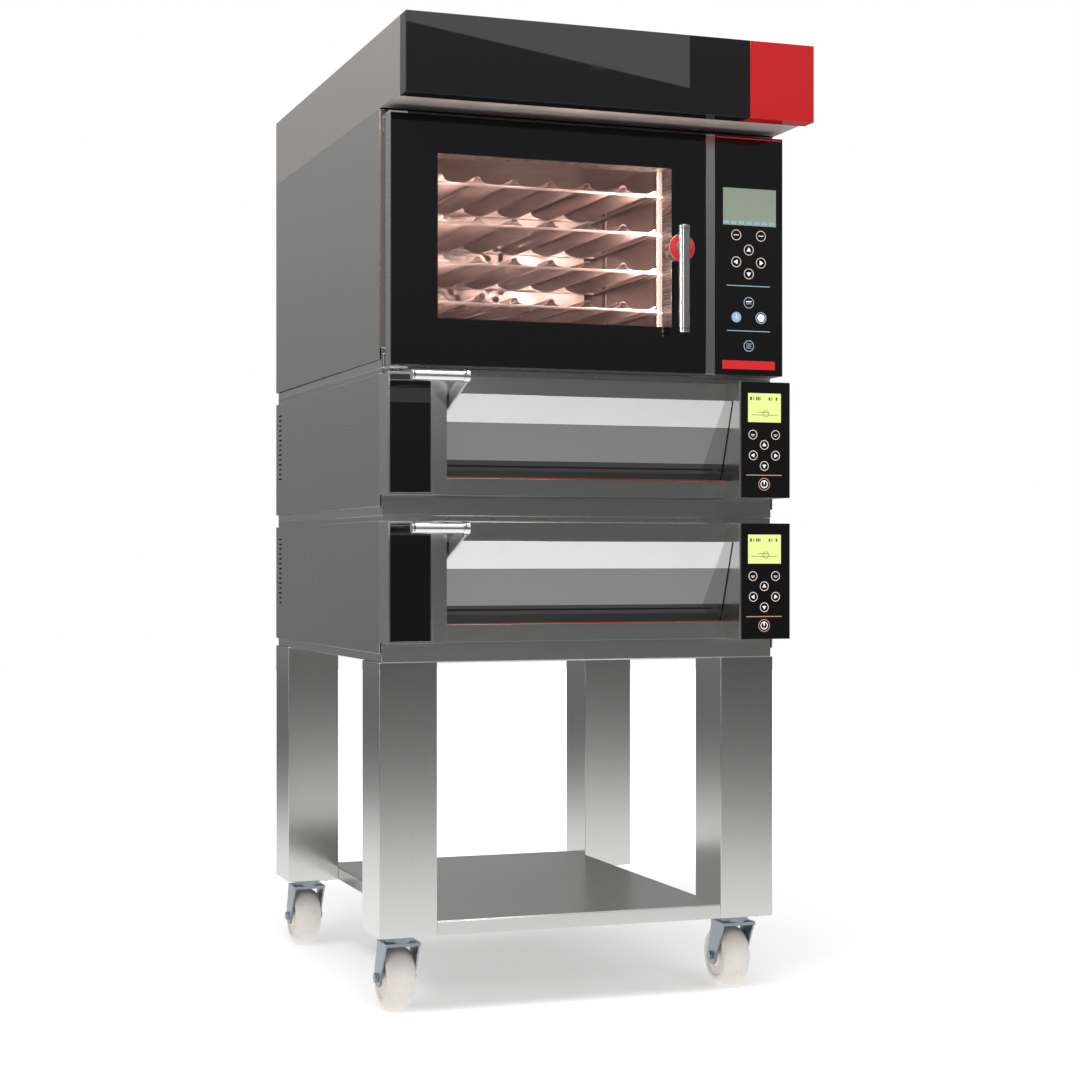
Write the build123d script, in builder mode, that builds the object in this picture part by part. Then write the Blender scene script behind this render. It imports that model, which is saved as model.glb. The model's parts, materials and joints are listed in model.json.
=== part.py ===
from build123d import *
import os

# Stacked bakery oven: two deck ovens, a convection oven above them, a hood on top and a stand on castors.
# Millimetres, +Z up, +Y towards the back, origin on the floor below the middle of the whole machine.
# Heights named low or high are counted from a module's base, unless the comment beside them says otherwise.

os.makedirs("parts", exist_ok=True)

# Overall
body_width = 920
body_depth = 995
sheet = 2.0                 # stainless sheet of every casing
seam = 0.2                  # gap between two plates of one welded piece
running_fit = 0.06          # radial gap of a shaft in its bore
free_gap = 0.3              # gap between a fixed and a moving face

# Castors
wheel_diameter = 140
castor_head = 32            # from the top of the wheel to the leg
castor_height = wheel_diameter + castor_head
wheel_width = 64
wheel_hub_width = 68
wheel_crown_drop = 14       # how much lower the tread is at its edges than in the middle
axle_diameter = 12
hub_radius = 21
rim_step = 4                # recess of the wheel's side inside its tread
castor_trail = 37.5
fork_gap = 1.5              # between the hub and each arm
arm_thickness = 4
arm_end_radius = 21
nut_radius = 10.5
nut_thickness = 7
wheel_clearance = 6         # between the wheel and the fork's crown
crown_thickness = 7
race_gap = 2                # between the fork's head and the top plate
fork_head_diameter = 64
castor_plate_width = 112
castor_plate_depth = 92
castor_plate_thickness = 4
king_pin_diameter = 16

# Stand
leg_height = 586
leg_width = 128
leg_depth = 140
shelf_lip = 32
shelf_rear_gap = 60         # from the shelf's rear edge to the legs' rear faces
frame_strap_thickness = 4   # flat bars that join the legs at the top
frame_strap_width = 60

# Stacking of modules
plinth_height = 43
plinth_inset = 5
side_lift = 19              # lower edge of the side panels above the module's base
stacking_height = 11.5      # frame on a deck's roof that carries the next module
stacking_bar = 20

# Deck oven front, heights above the module's base
sill_height = 37
mouth_height = 178
top_rail_height = 41
mouth_low = plinth_height + sill_height
mouth_high = mouth_low + mouth_height
front_top = mouth_high + top_rail_height
deck_side_top = front_top + sheet
deck_pitch = deck_side_top + stacking_height
cover_width = 97
jamb_width = 31
control_width = 119
edge_inset = 2              # right edge of the control box inside the casing
cheek = 4
cover_reach = 70            # reaches are counted forwards from the body's front plane
control_reach = 92
rail_reach = 22
rail_depth = 30
glass_thickness = 4
glass_edge = 4              # steel edging left round a black glass cover

# Deck oven door
door_top_reach = 58
door_low_reach = -8
door_thickness = 24
door_end_gap = 1.5
door_low_gap = 1.0
band_height = 59            # bright band above the glass
door_glass_thickness = 6
stile_width = 12
pivot_drop = 12             # door shaft below the door's top edge
shaft_diameter = 12

# Deck oven door lever
grip_diameter = 23.5
grip_left = 16              # from the body's left side
grip_wall = 2
collar_diameter = 28
collar_width = 13
grip_rise = 25              # grip above the mouth's upper edge
grip_reach = 190
lever_thickness = 5
lever_offset = 3            # from the left end of the mouth
lever_root = 42             # height of the lever on the door's face

# Deck baking chamber
stone_thickness = 20
stone_drop = 2              # stone's top below the mouth's lower edge
stone_set_back = 36
stone_side_gap = 3
chamber_rear_space = 135
chamber_depth = body_depth - chamber_rear_space
chamber_rise = 4            # chamber's roof above the mouth's upper edge
stone_ledge = 12
element_diameter = 8
element_count = 6
element_rear_space = 145
top_element_start = 165     # behind the sweep of the opening door
vent_count = 14
vent_length = 32
vent_height = 4
vent_low = 108
vent_top_margin = 29
vent_edge = 45              # middle of the vents from the rear edge

# Convection oven, heights above its base
oven_chamber_left = 47
oven_chamber_width = 620
oven_chamber_low = 74
oven_chamber_height = 410
oven_chamber_depth = 640
oven_roof_space = 65
convection_height = oven_chamber_low + oven_chamber_height + oven_roof_space
oven_chamber_right = oven_chamber_left + oven_chamber_width
oven_door_left = 6
oven_door_overlap = 57      # door past the chamber on the right
oven_door_right = oven_chamber_right + oven_door_overlap
oven_door_low = 2.5
oven_door_drop = 20         # door's top below the oven's roof
oven_door_high = convection_height - oven_door_drop
oven_door_back = 12         # reach of the door's rear face
oven_door_front = 70
outer_glass = 5
inner_glass = 4
window_left = oven_chamber_left + 61
window_right = oven_chamber_right - 23
window_low = oven_chamber_low + 28
window_high = oven_chamber_low + oven_chamber_height - 34
gasket_width = 8
hinge_in = 28               # hinge axis from the body's left side
hinge_relief = 13           # rear edge of the door's hinge side cut back at 45 degrees
hinge_reach = 40
hinge_pin_diameter = 10
hinge_pin_length = 14
bracket_thickness = 6
bracket_gap = 1.5
bracket_width = 40
post_gap = 2
post_left = oven_door_right + post_gap
post_width = 22
post_reach = 66
oven_control_inset = 7
oven_control_left = post_left + post_width + post_gap
oven_control_right = body_width - oven_control_inset
oven_control_reach = 65
oven_control_top = convection_height - 17
hub_in = window_right + 12
hub_rise = 199              # handle hub above the chamber's floor
hub_height = oven_chamber_low + hub_rise
hub_diameter = 61
hub_depth = 25
spindle_diameter = 12
bar_diameter = 24
bar_below = 187             # length of the bar below and above its hub
bar_above = 45
bar_shift = -6
bar_reach = 122
neck_diameter = 30

# Convection oven inside
tray_count = 4
tray_width = 600
tray_depth = 400
tray_floor_gap = 74
tray_roof_gap = 78
tray_pitch = (oven_chamber_height - tray_floor_gap - tray_roof_gap) / (tray_count - 1)
tray_front = 30             # front rim behind the body's front plane
tray_sheet = 1.5
channel_count = 7
channel_rise = 19
ridge_width = 16
rim_diameter = 6
post_strip = 20
runner_width = 15
runner_thickness = 2
baffle_space = 140          # behind the baffle, for the fan
baffle_set_back = oven_chamber_depth - baffle_space
baffle_side_gap = 13
intake_radius = 115
ring_gap = 33               # between the ring heater and the chamber
ring_radius = oven_chamber_height / 2 - ring_gap
blade_gap = 22              # between the impeller and the ring heater
impeller_diameter = 2 * (ring_radius - blade_gap)
impeller_depth = 60
blade_count = 16
blade_length = 50
blade_angle = 35
impeller_set_back = baffle_set_back + 44
fan_shaft_diameter = 16
ring_tube = 8.5
lead_offset = 60
motor_diameter = 140
motor_length = 140
motor_neck = 42

# Hood
hood_height = 160
hood_reach = 160
fascia_thickness = 45
fascia_drop = 6
fascia_wall = 6
badge_width = 152
spigot_diameter = 150
spigot_height = 60
spigot_wall = 1.5
spigot_from_rear = 195
flange_width = 22           # collar's flange under the hood's top sheet
neck_height = 2             # narrower foot of the collar, above the hood's top
neck_relief = 0.6
flange_thickness = 3
intake_gap = 12             # between the hood's underside and the front of the oven below it
filter_set_back = 14        # filter behind the oven's front, inside the hood
filter_side = 60
slot_pitch = 24
slot_width = 8
slot_end = 20

# Small parts
gland_diameter = 30
gland_length = 22
gland_bore = 18
gland_in = 80               # from the body's right side
board_width = 78
board_thickness = 1.6
pocket_depth = 1.0          # display's pocket in its glass
insulation_gap = 2

# Places worked out from the sizes
left = -body_width / 2
right = body_width / 2
fascia_reach = hood_reach + fascia_thickness
rear_reach = max(gland_length, castor_trail + wheel_diameter / 2 - leg_depth / 2)
front = (fascia_reach - body_depth - rear_reach) / 2
rear = front + body_depth
deck_bases = {
    "lower": castor_height + leg_height,
    "upper": castor_height + leg_height + deck_pitch,
}
oven_base = castor_height + leg_height + 2 * deck_pitch
hood_base = oven_base + convection_height
hood_top = hood_base + hood_height
mouth_left = left + cover_width + jamb_width
control_left = right - edge_inset - control_width
mouth_right = control_left - cheek


def block(x, y, z, mode=Mode.ADD):
    """A block of the open part, given as its low and high ends along each axis."""
    with Locations((sum(x) / 2, sum(y) / 2, sum(z) / 2)):
        Box(abs(x[1] - x[0]), abs(y[1] - y[0]), abs(z[1] - z[0]), mode=mode)


def bar(start, direction, length, radius, mode=Mode.ADD):
    """A round bar of the open part, from a point along a direction."""
    with BuildSketch(Plane(origin=start, z_dir=direction)) as round_face:
        Circle(radius)
    extrude(round_face.sketch, amount=length, mode=mode)


def side_profile(points, x, mode=Mode.ADD):
    """A prism of the open part along X, from its outline in Y and Z."""
    with BuildSketch(Plane.YZ.offset(x[0])) as outline:
        Polygon(*points, align=None)
    extrude(outline.sketch, amount=x[1] - x[0], mode=mode)


def pan(x, y, z, wall, open_side):
    """A box of sheet, open on one side: front, rear, top or bottom."""
    block(x, y, z)
    inner_y = [y[0] + wall, y[1] - wall]
    inner_z = [z[0] + wall, z[1] - wall]
    if open_side == "front":
        inner_y[0] = y[0]
    if open_side == "rear":
        inner_y[1] = y[1]
    if open_side == "top":
        inner_z[1] = z[1]
    if open_side == "bottom":
        inner_z[0] = z[0]
    block((x[0] + wall, x[1] - wall), inner_y, inner_z, mode=Mode.SUBTRACT)


def save(builder, name):
    """Labels a finished piece and writes its file."""
    builder.part.label = name
    export_step(builder.part, "parts/" + name + ".step")


# ---------------------------------------------------------------- stand

leg_columns = {"left": (left, left + leg_width), "right": (right - leg_width, right)}
leg_rows = {"front": (front, front + leg_depth), "rear": (rear - leg_depth, rear)}
leg_top = castor_height + leg_height

with BuildPart() as stand_legs:
    for column in leg_columns.values():
        for row in leg_rows.values():
            pan(column, row, (castor_height, leg_top), sheet, "top")
save(stand_legs, "stand_legs")

shelf_top = castor_height + shelf_lip
shelf_x = (left + leg_width, right - leg_width)
shelf_y = (front, rear - shelf_rear_gap)
with BuildPart() as stand_shelf:
    lip_z = (castor_height, shelf_top - sheet - seam)
    block(shelf_x, shelf_y, (shelf_top - sheet, shelf_top))
    for lip_y in ((shelf_y[0], shelf_y[0] + sheet), (shelf_y[1] - sheet, shelf_y[1])):
        block(shelf_x, lip_y, lip_z)
    for lip_x in ((shelf_x[0], shelf_x[0] + sheet), (shelf_x[1] - sheet, shelf_x[1])):
        block(lip_x, (shelf_y[0] + sheet + seam, shelf_y[1] - sheet - seam), lip_z)
save(stand_shelf, "stand_shelf")

strap_z = (leg_top - frame_strap_thickness, leg_top)
with BuildPart() as stand_top_frame:
    half = frame_strap_width / 2
    for side_x in (left + leg_width / 2, right - leg_width / 2):
        block((side_x - half, side_x + half), (front + leg_depth, rear - leg_depth), strap_z)
    for row_y in (front + leg_depth / 2, rear - leg_depth / 2):
        block(shelf_x, (row_y - half, row_y + half), strap_z)
save(stand_top_frame, "stand_top_frame")

# ---------------------------------------------------------------- castors

castor_places = {
    row_name + "_" + column_name: (sum(column) / 2, sum(row) / 2)
    for row_name, row in leg_rows.items()
    for column_name, column in leg_columns.items()
}
axle_z = wheel_diameter / 2
crown_z = wheel_diameter + wheel_clearance
head_z = crown_z + crown_thickness
head_top = castor_height - castor_plate_thickness - race_gap
arm_x = wheel_hub_width / 2 + fork_gap

with BuildPart() as castor_plates:
    for place_x, place_y in castor_places.values():
        with Locations((place_x, place_y, castor_height - castor_plate_thickness / 2)):
            Box(castor_plate_width, castor_plate_depth, castor_plate_thickness)
        pin_length = castor_height - castor_plate_thickness - crown_z - 1
        bar((place_x, place_y, castor_height - castor_plate_thickness), (0, 0, -1), pin_length,
            king_pin_diameter / 2)
save(castor_plates, "castor_plates")

for castor_name, (place_x, place_y) in castor_places.items():
    axle_y = place_y + castor_trail
    with BuildPart() as castor_fork:
        half_crown = arm_x + arm_thickness
        block((place_x - half_crown, place_x + half_crown),
              (place_y - fork_head_diameter / 2, place_y + fork_head_diameter / 2 + 6), (crown_z, head_z))
        bar((place_x, place_y, head_z), (0, 0, 1), head_top - head_z, fork_head_diameter / 2)
        for side in (-1, 1):
            inner_x = place_x + side * arm_x
            arm_plane = Plane.YZ.offset(min(inner_x, inner_x + side * arm_thickness))
            with BuildSketch(arm_plane) as arm_face:
                with Locations((axle_y, axle_z)):
                    Circle(arm_end_radius)
                with Locations((place_y + 3, head_z - 2)):
                    Rectangle(fork_head_diameter, 4)
                make_hull()
            extrude(arm_face.sketch, amount=arm_thickness)
            nut_x = place_x + side * (arm_x + arm_thickness)
            nut_plane = Plane(origin=(nut_x, axle_y, axle_z), x_dir=(0, 1, 0), z_dir=(side, 0, 0))
            with BuildSketch(nut_plane) as nut_face:
                RegularPolygon(radius=nut_radius, side_count=6)
            extrude(nut_face.sketch, amount=nut_thickness)
        bar((place_x - arm_x, axle_y, axle_z), (1, 0, 0), 2 * arm_x, axle_diameter / 2)
        bar((place_x, place_y, crown_z), (0, 0, 1), castor_height, king_pin_diameter / 2 + running_fit,
            mode=Mode.SUBTRACT)
    save(castor_fork, "castor_" + castor_name + "_fork")

    with BuildPart() as castor_wheel:
        with BuildSketch(Plane.XZ.offset(-axle_y)):
            hub_half = wheel_hub_width / 2
            tread_half = wheel_width / 2
            edge_radius = wheel_diameter / 2 - wheel_crown_drop
            bore_radius = axle_diameter / 2 + running_fit
            with BuildLine():
                tread = ThreePointArc(
                    (place_x - tread_half, axle_z + edge_radius),
                    (place_x, axle_z + wheel_diameter / 2),
                    (place_x + tread_half, axle_z + edge_radius),
                )
                half_profile = (
                    (tread_half, edge_radius - 2 * rim_step),
                    (tread_half - rim_step, edge_radius - 3 * rim_step),
                    (tread_half - rim_step, hub_radius + rim_step),
                    (hub_half, hub_radius),
                    (hub_half, bore_radius),
                )
                right_side = [(place_x + across, axle_z + up) for across, up in half_profile]
                left_side = [(place_x - across, axle_z + up) for across, up in reversed(half_profile)]
                Polyline(tread @ 1, *right_side, *left_side, tread @ 0)
            make_face()
        revolve(axis=Axis((place_x, axle_y, axle_z), (1, 0, 0)))
    save(castor_wheel, "castor_" + castor_name + "_wheel")

# ---------------------------------------------------------------- deck ovens

tilt_per_mm = (door_top_reach - door_low_reach) / (mouth_high - mouth_low)
tilt_stretch = (1 + tilt_per_mm ** 2) ** 0.5
pivot_rise = mouth_high - pivot_drop
pivot_reach = door_top_reach - pivot_drop * tilt_per_mm - door_thickness * tilt_stretch / 2
chamber_left = mouth_left
chamber_right = mouth_right
chamber_front = front + sheet
chamber_rear = front + chamber_depth
stone_top = mouth_low - stone_drop
chamber_floor = stone_top - stone_thickness - 2 * element_diameter
chamber_roof = mouth_high + chamber_rise


def door_slab(base, x, z, depth, mode=Mode.ADD):
    """A bar of the tilted door: its span along X, its heights and its depths behind the front face."""
    points = []
    for height, deep in ((z[0], depth[0]), (z[1], depth[0]), (z[1], depth[1]), (z[0], depth[1])):
        reach = door_low_reach + (height - mouth_low) * tilt_per_mm - deep * tilt_stretch
        points.append((front - reach, base + height))
    side_profile(points, x, mode)


def control_box(name, x, z, reach):
    """A control box of sheet, open at the front, where its glass closes it."""
    with BuildPart() as box:
        pan(x, (front - reach + glass_thickness, front), z, sheet, "front")
    save(box, name)


def plinth(name, base):
    """The closed base pan of a module."""
    with BuildPart() as base_pan:
        pan((left + plinth_inset, right - plinth_inset), (front, rear - plinth_inset),
            (base, base + plinth_height), sheet, "top")
    save(base_pan, name)


def casing(name, base, side_top, top, vents):
    """Two side panels, a roof and, where the module carries another, its stacking frame."""
    with BuildPart() as shell:
        for side_x in ((left, left + sheet), (right - sheet, right)):
            block(side_x, (front, rear), (base + side_lift, base + side_top))
        block((left + sheet + seam, right - sheet - seam), (front, rear - sheet - seam),
              (base + side_top - sheet, base + side_top))
        if top > side_top:
            block((left + plinth_inset, right - plinth_inset), (front + sheet, rear - plinth_inset),
                  (base + side_top + seam, base + top))
            block((left + stacking_bar, right - stacking_bar), (front + stacking_bar, rear - stacking_bar),
                  (base + side_top + seam, base + top), mode=Mode.SUBTRACT)
        for count in range(vents):
            slot_span = side_top - vent_top_margin - vent_low - vent_height
            slot_z = base + vent_low + count * slot_span / (vents - 1)
            slot_y = rear - vent_edge
            block((left - 1, right + 1), (slot_y - vent_length / 2, slot_y + vent_length / 2),
                  (slot_z, slot_z + vent_height), mode=Mode.SUBTRACT)
    save(shell, name)


def deck_oven(deck, base):
    """All the pieces of one deck oven, on its base height."""
    plinth(deck + "_deck_base", base)
    casing(deck + "_deck_casing", base, deck_side_top, deck_pitch, vent_count)
    control_box(deck + "_deck_control_box", (control_left, right - edge_inset),
                (base + plinth_height, base + front_top), control_reach)

    with BuildPart() as chamber:
        wall_y = (chamber_front, chamber_rear)
        inner_z = (base + chamber_floor, base + chamber_roof)
        block((chamber_left - sheet, chamber_left), wall_y, inner_z)
        block((chamber_right, chamber_right + sheet), wall_y, inner_z)
        block((chamber_left + seam, chamber_right - seam), (chamber_rear - sheet, chamber_rear), inner_z)
        for level in (chamber_floor - sheet - seam, chamber_roof + seam):
            block((chamber_left - sheet, chamber_right + sheet), wall_y, (base + level, base + level + sheet))
        ledge_z = (base + stone_top - stone_thickness - sheet, base + stone_top - stone_thickness)
        ledge_y = (front + stone_set_back, chamber_rear - sheet - seam)
        block((chamber_left, chamber_left + stone_ledge), ledge_y, ledge_z)
        block((chamber_right - stone_ledge, chamber_right), ledge_y, ledge_z)
    save(chamber, deck + "_deck_chamber")

    with BuildPart() as front_frame:
        cover_front = front - cover_reach
        cover_z = (base + plinth_height, base + front_top)
        pan((left, left + cover_width), (cover_front, front), cover_z, sheet, "rear")
        block((left + glass_edge, left + cover_width - glass_edge),
              (cover_front, cover_front + glass_thickness),
              (cover_z[0] + glass_edge, cover_z[1] - glass_edge), mode=Mode.SUBTRACT)
        jamb_x = (left + cover_width + seam, mouth_left)
        pan(jamb_x, (cover_front, front), cover_z, sheet, "rear")
        block((mouth_right, mouth_right + cheek), (front - control_reach, front), cover_z)
        sill_y = (front - rail_reach, front - rail_reach + rail_depth)
        rail_x = (mouth_left + seam, mouth_right - seam)
        block(rail_x, sill_y, (base + plinth_height, base + mouth_low))
        block(rail_x, (sill_y[0] + sheet, sill_y[1]), (base + plinth_height, base + mouth_low - sheet),
              mode=Mode.SUBTRACT)
        top_y = (front - rail_reach, front)
        block(rail_x, top_y, (base + mouth_high, base + front_top))
        block(rail_x, (top_y[0] + sheet, top_y[1]), (base + mouth_high + sheet, base + front_top - sheet),
              mode=Mode.SUBTRACT)
        shaft_y = front - pivot_reach
        shaft_hole = shaft_diameter / 2 + running_fit
        for bush_x in (mouth_left - cheek, mouth_right):
            bar((bush_x, shaft_y, base + pivot_rise), (1, 0, 0), cheek, shaft_hole, mode=Mode.SUBTRACT)
    save(front_frame, deck + "_deck_front_frame")

    with BuildPart() as glass_panels:
        block((left + glass_edge, left + cover_width - glass_edge),
              (front - cover_reach, front - cover_reach + glass_thickness),
              (base + plinth_height + glass_edge, base + front_top - glass_edge))
        block((control_left, right - edge_inset),
              (front - control_reach, front - control_reach + glass_thickness),
              (base + plinth_height, base + front_top))
        block(deck_screen_x, (front - control_reach, front - control_reach + pocket_depth),
              (base + deck_screen_z[0], base + deck_screen_z[1]), mode=Mode.SUBTRACT)
    save(glass_panels, deck + "_deck_glass_panels")

    door_x = (mouth_left + door_end_gap, mouth_right - door_end_gap)
    door_low = mouth_low + door_low_gap
    glass_high = mouth_high - band_height
    with BuildPart() as door_leaf:
        door_slab(base, door_x, (glass_high, mouth_high), (0, door_thickness))
        door_slab(base, (door_x[0], door_x[0] + stile_width), (door_low, glass_high),
                  (door_glass_thickness, door_thickness))
        door_slab(base, (door_x[1] - stile_width, door_x[1]), (door_low, glass_high),
                  (door_glass_thickness, door_thickness))
        door_slab(base, door_x, (door_low, door_low + stile_width), (door_glass_thickness, door_thickness))
        door_slab(base, (door_x[0] + sheet, door_x[1] - sheet),
                  (glass_high + sheet, mouth_high - pivot_drop - shaft_diameter / 2 - 3),
                  (sheet, door_thickness), mode=Mode.SUBTRACT)
        shaft_start = mouth_left - cheek + free_gap
        bar((shaft_start, front - pivot_reach, base + pivot_rise), (1, 0, 0),
            mouth_right + cheek - free_gap - shaft_start, shaft_diameter / 2)
    save(door_leaf, deck + "_deck_door_leaf")

    with BuildPart() as door_glass:
        door_slab(base, door_x, (door_low, glass_high), (0, door_glass_thickness))
    save(door_glass, deck + "_deck_door_glass")

    lever_x = (mouth_left + lever_offset, mouth_left + lever_offset + lever_thickness)
    grip_y = front - grip_reach
    grip_z = base + mouth_high + grip_rise
    grip_start = left + grip_left
    grip_end = lever_x[1] + 2
    with BuildPart() as door_handle:
        bar((grip_start, grip_y, grip_z), (1, 0, 0), grip_end - grip_start, grip_diameter / 2)
        bar((grip_end - collar_width, grip_y, grip_z), (1, 0, 0), collar_width, collar_diameter / 2)
        bar((grip_start + grip_wall, grip_y, grip_z), (1, 0, 0), grip_end - collar_width / 2 - grip_start,
            grip_diameter / 2 - grip_wall, mode=Mode.SUBTRACT)
        root_high = mouth_high - 2
        root_low = root_high - lever_root
        root_points = [
            (front - door_low_reach - (height - mouth_low) * tilt_per_mm, base + height)
            for height in (root_low, root_high)
        ]
        lever_tip = [
            (grip_y + 1, grip_z + collar_diameter / 2 - 1),
            (grip_y - 9, grip_z - collar_diameter / 2 + 5),
        ]
        side_profile(root_points + lever_tip, lever_x)
    save(door_handle, deck + "_deck_door_handle")


# Displays, heights above the module's base
deck_screen_x = (control_left + 17, control_left + 97)
deck_screen_z = (front_top - 89, front_top - 25)
oven_screen_x = (left + oven_control_left + 18, left + oven_control_right - 16)
oven_screen_z = (oven_control_top - 197, oven_control_top - 115)

for deck, base in deck_bases.items():
    deck_oven(deck, base)

with BuildPart() as baking_stones:
    for base in deck_bases.values():
        block((chamber_left + stone_side_gap, chamber_right - stone_side_gap),
              (front + stone_set_back, chamber_rear - sheet - stone_side_gap),
              (base + stone_top - stone_thickness, base + stone_top))
save(baking_stones, "baking_stones")

element_pitch = (chamber_depth - top_element_start - element_rear_space) / (element_count - 1)
with BuildPart() as deck_heaters:
    for base in deck_bases.values():
        for count in range(element_count):
            element_y = front + top_element_start + count * element_pitch
            for level in (chamber_floor + element_diameter / 2 + 1, chamber_roof - element_diameter):
                bar((chamber_left, element_y, base + level), (1, 0, 0), chamber_right - chamber_left,
                    element_diameter / 2)
save(deck_heaters, "deck_heaters")

# ---------------------------------------------------------------- convection oven

plinth("convection_base", oven_base)
casing("convection_casing", oven_base, convection_height, convection_height, 0)

cavity_x = (left + oven_chamber_left, left + oven_chamber_left + oven_chamber_width)
cavity_z = (oven_base + oven_chamber_low, oven_base + oven_chamber_low + oven_chamber_height)
cavity_rear = front + oven_chamber_depth
fan_x = sum(cavity_x) / 2
fan_z = sum(cavity_z) / 2
face_z = (oven_base + plinth_height, oven_base + convection_height - sheet)

with BuildPart() as convection_chamber:
    wall_y = (front + sheet + seam, cavity_rear)
    block((cavity_x[0] - sheet, cavity_x[0]), wall_y, cavity_z)
    block((cavity_x[1], cavity_x[1] + sheet), wall_y, cavity_z)
    for level in (cavity_z[0] - sheet - seam, cavity_z[1] + seam):
        block((cavity_x[0] - sheet, cavity_x[1] + sheet), wall_y, (level, level + sheet))
    block((cavity_x[0] + seam, cavity_x[1] - seam), (cavity_rear - sheet, cavity_rear), cavity_z)
    bar((fan_x, cavity_rear - sheet, fan_z), (0, 1, 0), sheet, fan_shaft_diameter, mode=Mode.SUBTRACT)
    face_y = (front, front + sheet)
    block((left + sheet, cavity_x[0]), face_y, face_z)
    block((cavity_x[1], right - sheet), face_y, face_z)
    block((cavity_x[0] + seam, cavity_x[1] - seam), face_y, (cavity_z[1], face_z[1]))
    block((cavity_x[0] + seam, cavity_x[1] - seam), face_y, (face_z[0], cavity_z[0]))
save(convection_chamber, "convection_chamber")

with BuildPart() as convection_gasket:
    gasket_y = (front - oven_door_back + free_gap, front)
    gasket_x = (cavity_x[0] - gasket_width, cavity_x[1] + gasket_width)
    gasket_z = (cavity_z[0] - gasket_width, cavity_z[1] + gasket_width)
    block((gasket_x[0], cavity_x[0]), gasket_y, gasket_z)
    block((cavity_x[1], gasket_x[1]), gasket_y, gasket_z)
    block((cavity_x[0] + seam, cavity_x[1] - seam), gasket_y, (gasket_z[0], cavity_z[0]))
    block((cavity_x[0] + seam, cavity_x[1] - seam), gasket_y, (cavity_z[1], gasket_z[1]))
save(convection_gasket, "convection_gasket")

with BuildPart() as convection_baffle:
    baffle_y = (front + baffle_set_back, front + baffle_set_back + sheet)
    block((cavity_x[0] + baffle_side_gap, cavity_x[1] - baffle_side_gap), baffle_y,
          (cavity_z[0] + baffle_side_gap, cavity_z[1] - baffle_side_gap))
    for ring in (0.3, 0.55, 0.8):
        with BuildSketch(Plane.XZ.offset(-baffle_y[1])) as intake:
            with Locations((fan_x, fan_z)):
                with PolarLocations(intake_radius * ring, round(34 * ring)):
                    Circle(intake_radius * 0.07)
        extrude(intake.sketch, amount=sheet, mode=Mode.SUBTRACT)
    for corner_x in (cavity_x[0] + 40, cavity_x[1] - 40):
        for corner_z in (cavity_z[0] + 40, cavity_z[1] - 40):
            bar((corner_x, baffle_y[1], corner_z), (0, 1, 0), cavity_rear - sheet - baffle_y[1], 6)
save(convection_baffle, "convection_baffle")

impeller_y = front + impeller_set_back
impeller_rear = impeller_y + impeller_depth
motor_front = cavity_rear
with BuildPart() as convection_impeller:
    bar((fan_x, impeller_rear - sheet, fan_z), (0, 1, 0), sheet, impeller_diameter / 2)
    bar((fan_x, impeller_y + 10, fan_z), (0, 1, 0), impeller_depth - 10, 25)
    with BuildSketch(Plane.XZ.offset(-impeller_rear)) as blades:
        with Locations((fan_x, fan_z)):
            with PolarLocations((impeller_diameter - blade_length) / 2 - sheet, blade_count):
                Rectangle(blade_length, sheet, rotation=blade_angle)
    extrude(blades.sketch, amount=impeller_depth)
    with BuildSketch(Plane.XZ.offset(-(impeller_y + sheet))) as ring_face:
        with Locations((fan_x, fan_z)):
            Circle(impeller_diameter / 2)
            Circle(impeller_diameter / 2 - blade_length + 10, mode=Mode.SUBTRACT)
    extrude(ring_face.sketch, amount=sheet)
    bar((fan_x, impeller_y + 10, fan_z), (0, 1, 0), motor_front + motor_neck - impeller_y,
        fan_shaft_diameter / 2)
save(convection_impeller, "convection_impeller")

with BuildPart() as convection_motor:
    block((fan_x - 90, fan_x + 90), (motor_front, motor_front + 6), (fan_z - 90, fan_z + 90))
    bar((fan_x, motor_front, fan_z), (0, 1, 0), motor_neck, 30)
    bar((fan_x, motor_front + motor_neck, fan_z), (0, 1, 0), motor_length, motor_diameter / 2)
    bar((fan_x, motor_front, fan_z), (0, 1, 0), motor_neck + 30, fan_shaft_diameter / 2 + running_fit,
        mode=Mode.SUBTRACT)
save(convection_motor, "convection_motor")

with BuildPart() as convection_heater:
    for ring_y, radius in ((impeller_y + 15, ring_radius), (impeller_y + 40, ring_radius - 1.6 * ring_tube)):
        with BuildSketch(Plane.YZ.offset(fan_x)) as tube_face:
            with Locations((ring_y, fan_z + radius)):
                Circle(ring_tube / 2)
        revolve(tube_face.sketch, axis=Axis((fan_x, ring_y, fan_z), (0, 1, 0)))
        for lead_x in (-lead_offset, lead_offset):
            lead_z = fan_z - (radius ** 2 - lead_x ** 2) ** 0.5
            bar((fan_x + lead_x, ring_y, lead_z), (0, 1, 0), cavity_rear - sheet - ring_y, ring_tube / 2)
save(convection_heater, "convection_heater")

tray_x = (fan_x - tray_width / 2, fan_x + tray_width / 2)
tray_y = (front + tray_front, front + tray_front + tray_depth)
tray_levels = [cavity_z[0] + tray_floor_gap + count * tray_pitch for count in range(tray_count)]
rim = rim_diameter / 2

with BuildPart() as convection_tray_rails:
    for side, wall_x in ((1, cavity_x[0]), (-1, cavity_x[1])):
        strip_x = sorted((wall_x, wall_x + side * 5))
        for strip_y in (tray_y[0] + 30, tray_y[1] - 30 - post_strip):
            block(strip_x, (strip_y, strip_y + post_strip), (cavity_z[0] + 20, cavity_z[1] - 15))
        for level in tray_levels:
            runner_x = sorted((wall_x + side * 5, wall_x + side * (5 + runner_width)))
            block(runner_x, (tray_y[0] - 5, tray_y[1] + 10), (level - rim - runner_thickness, level - rim))
save(convection_tray_rails, "convection_tray_rails")


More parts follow.
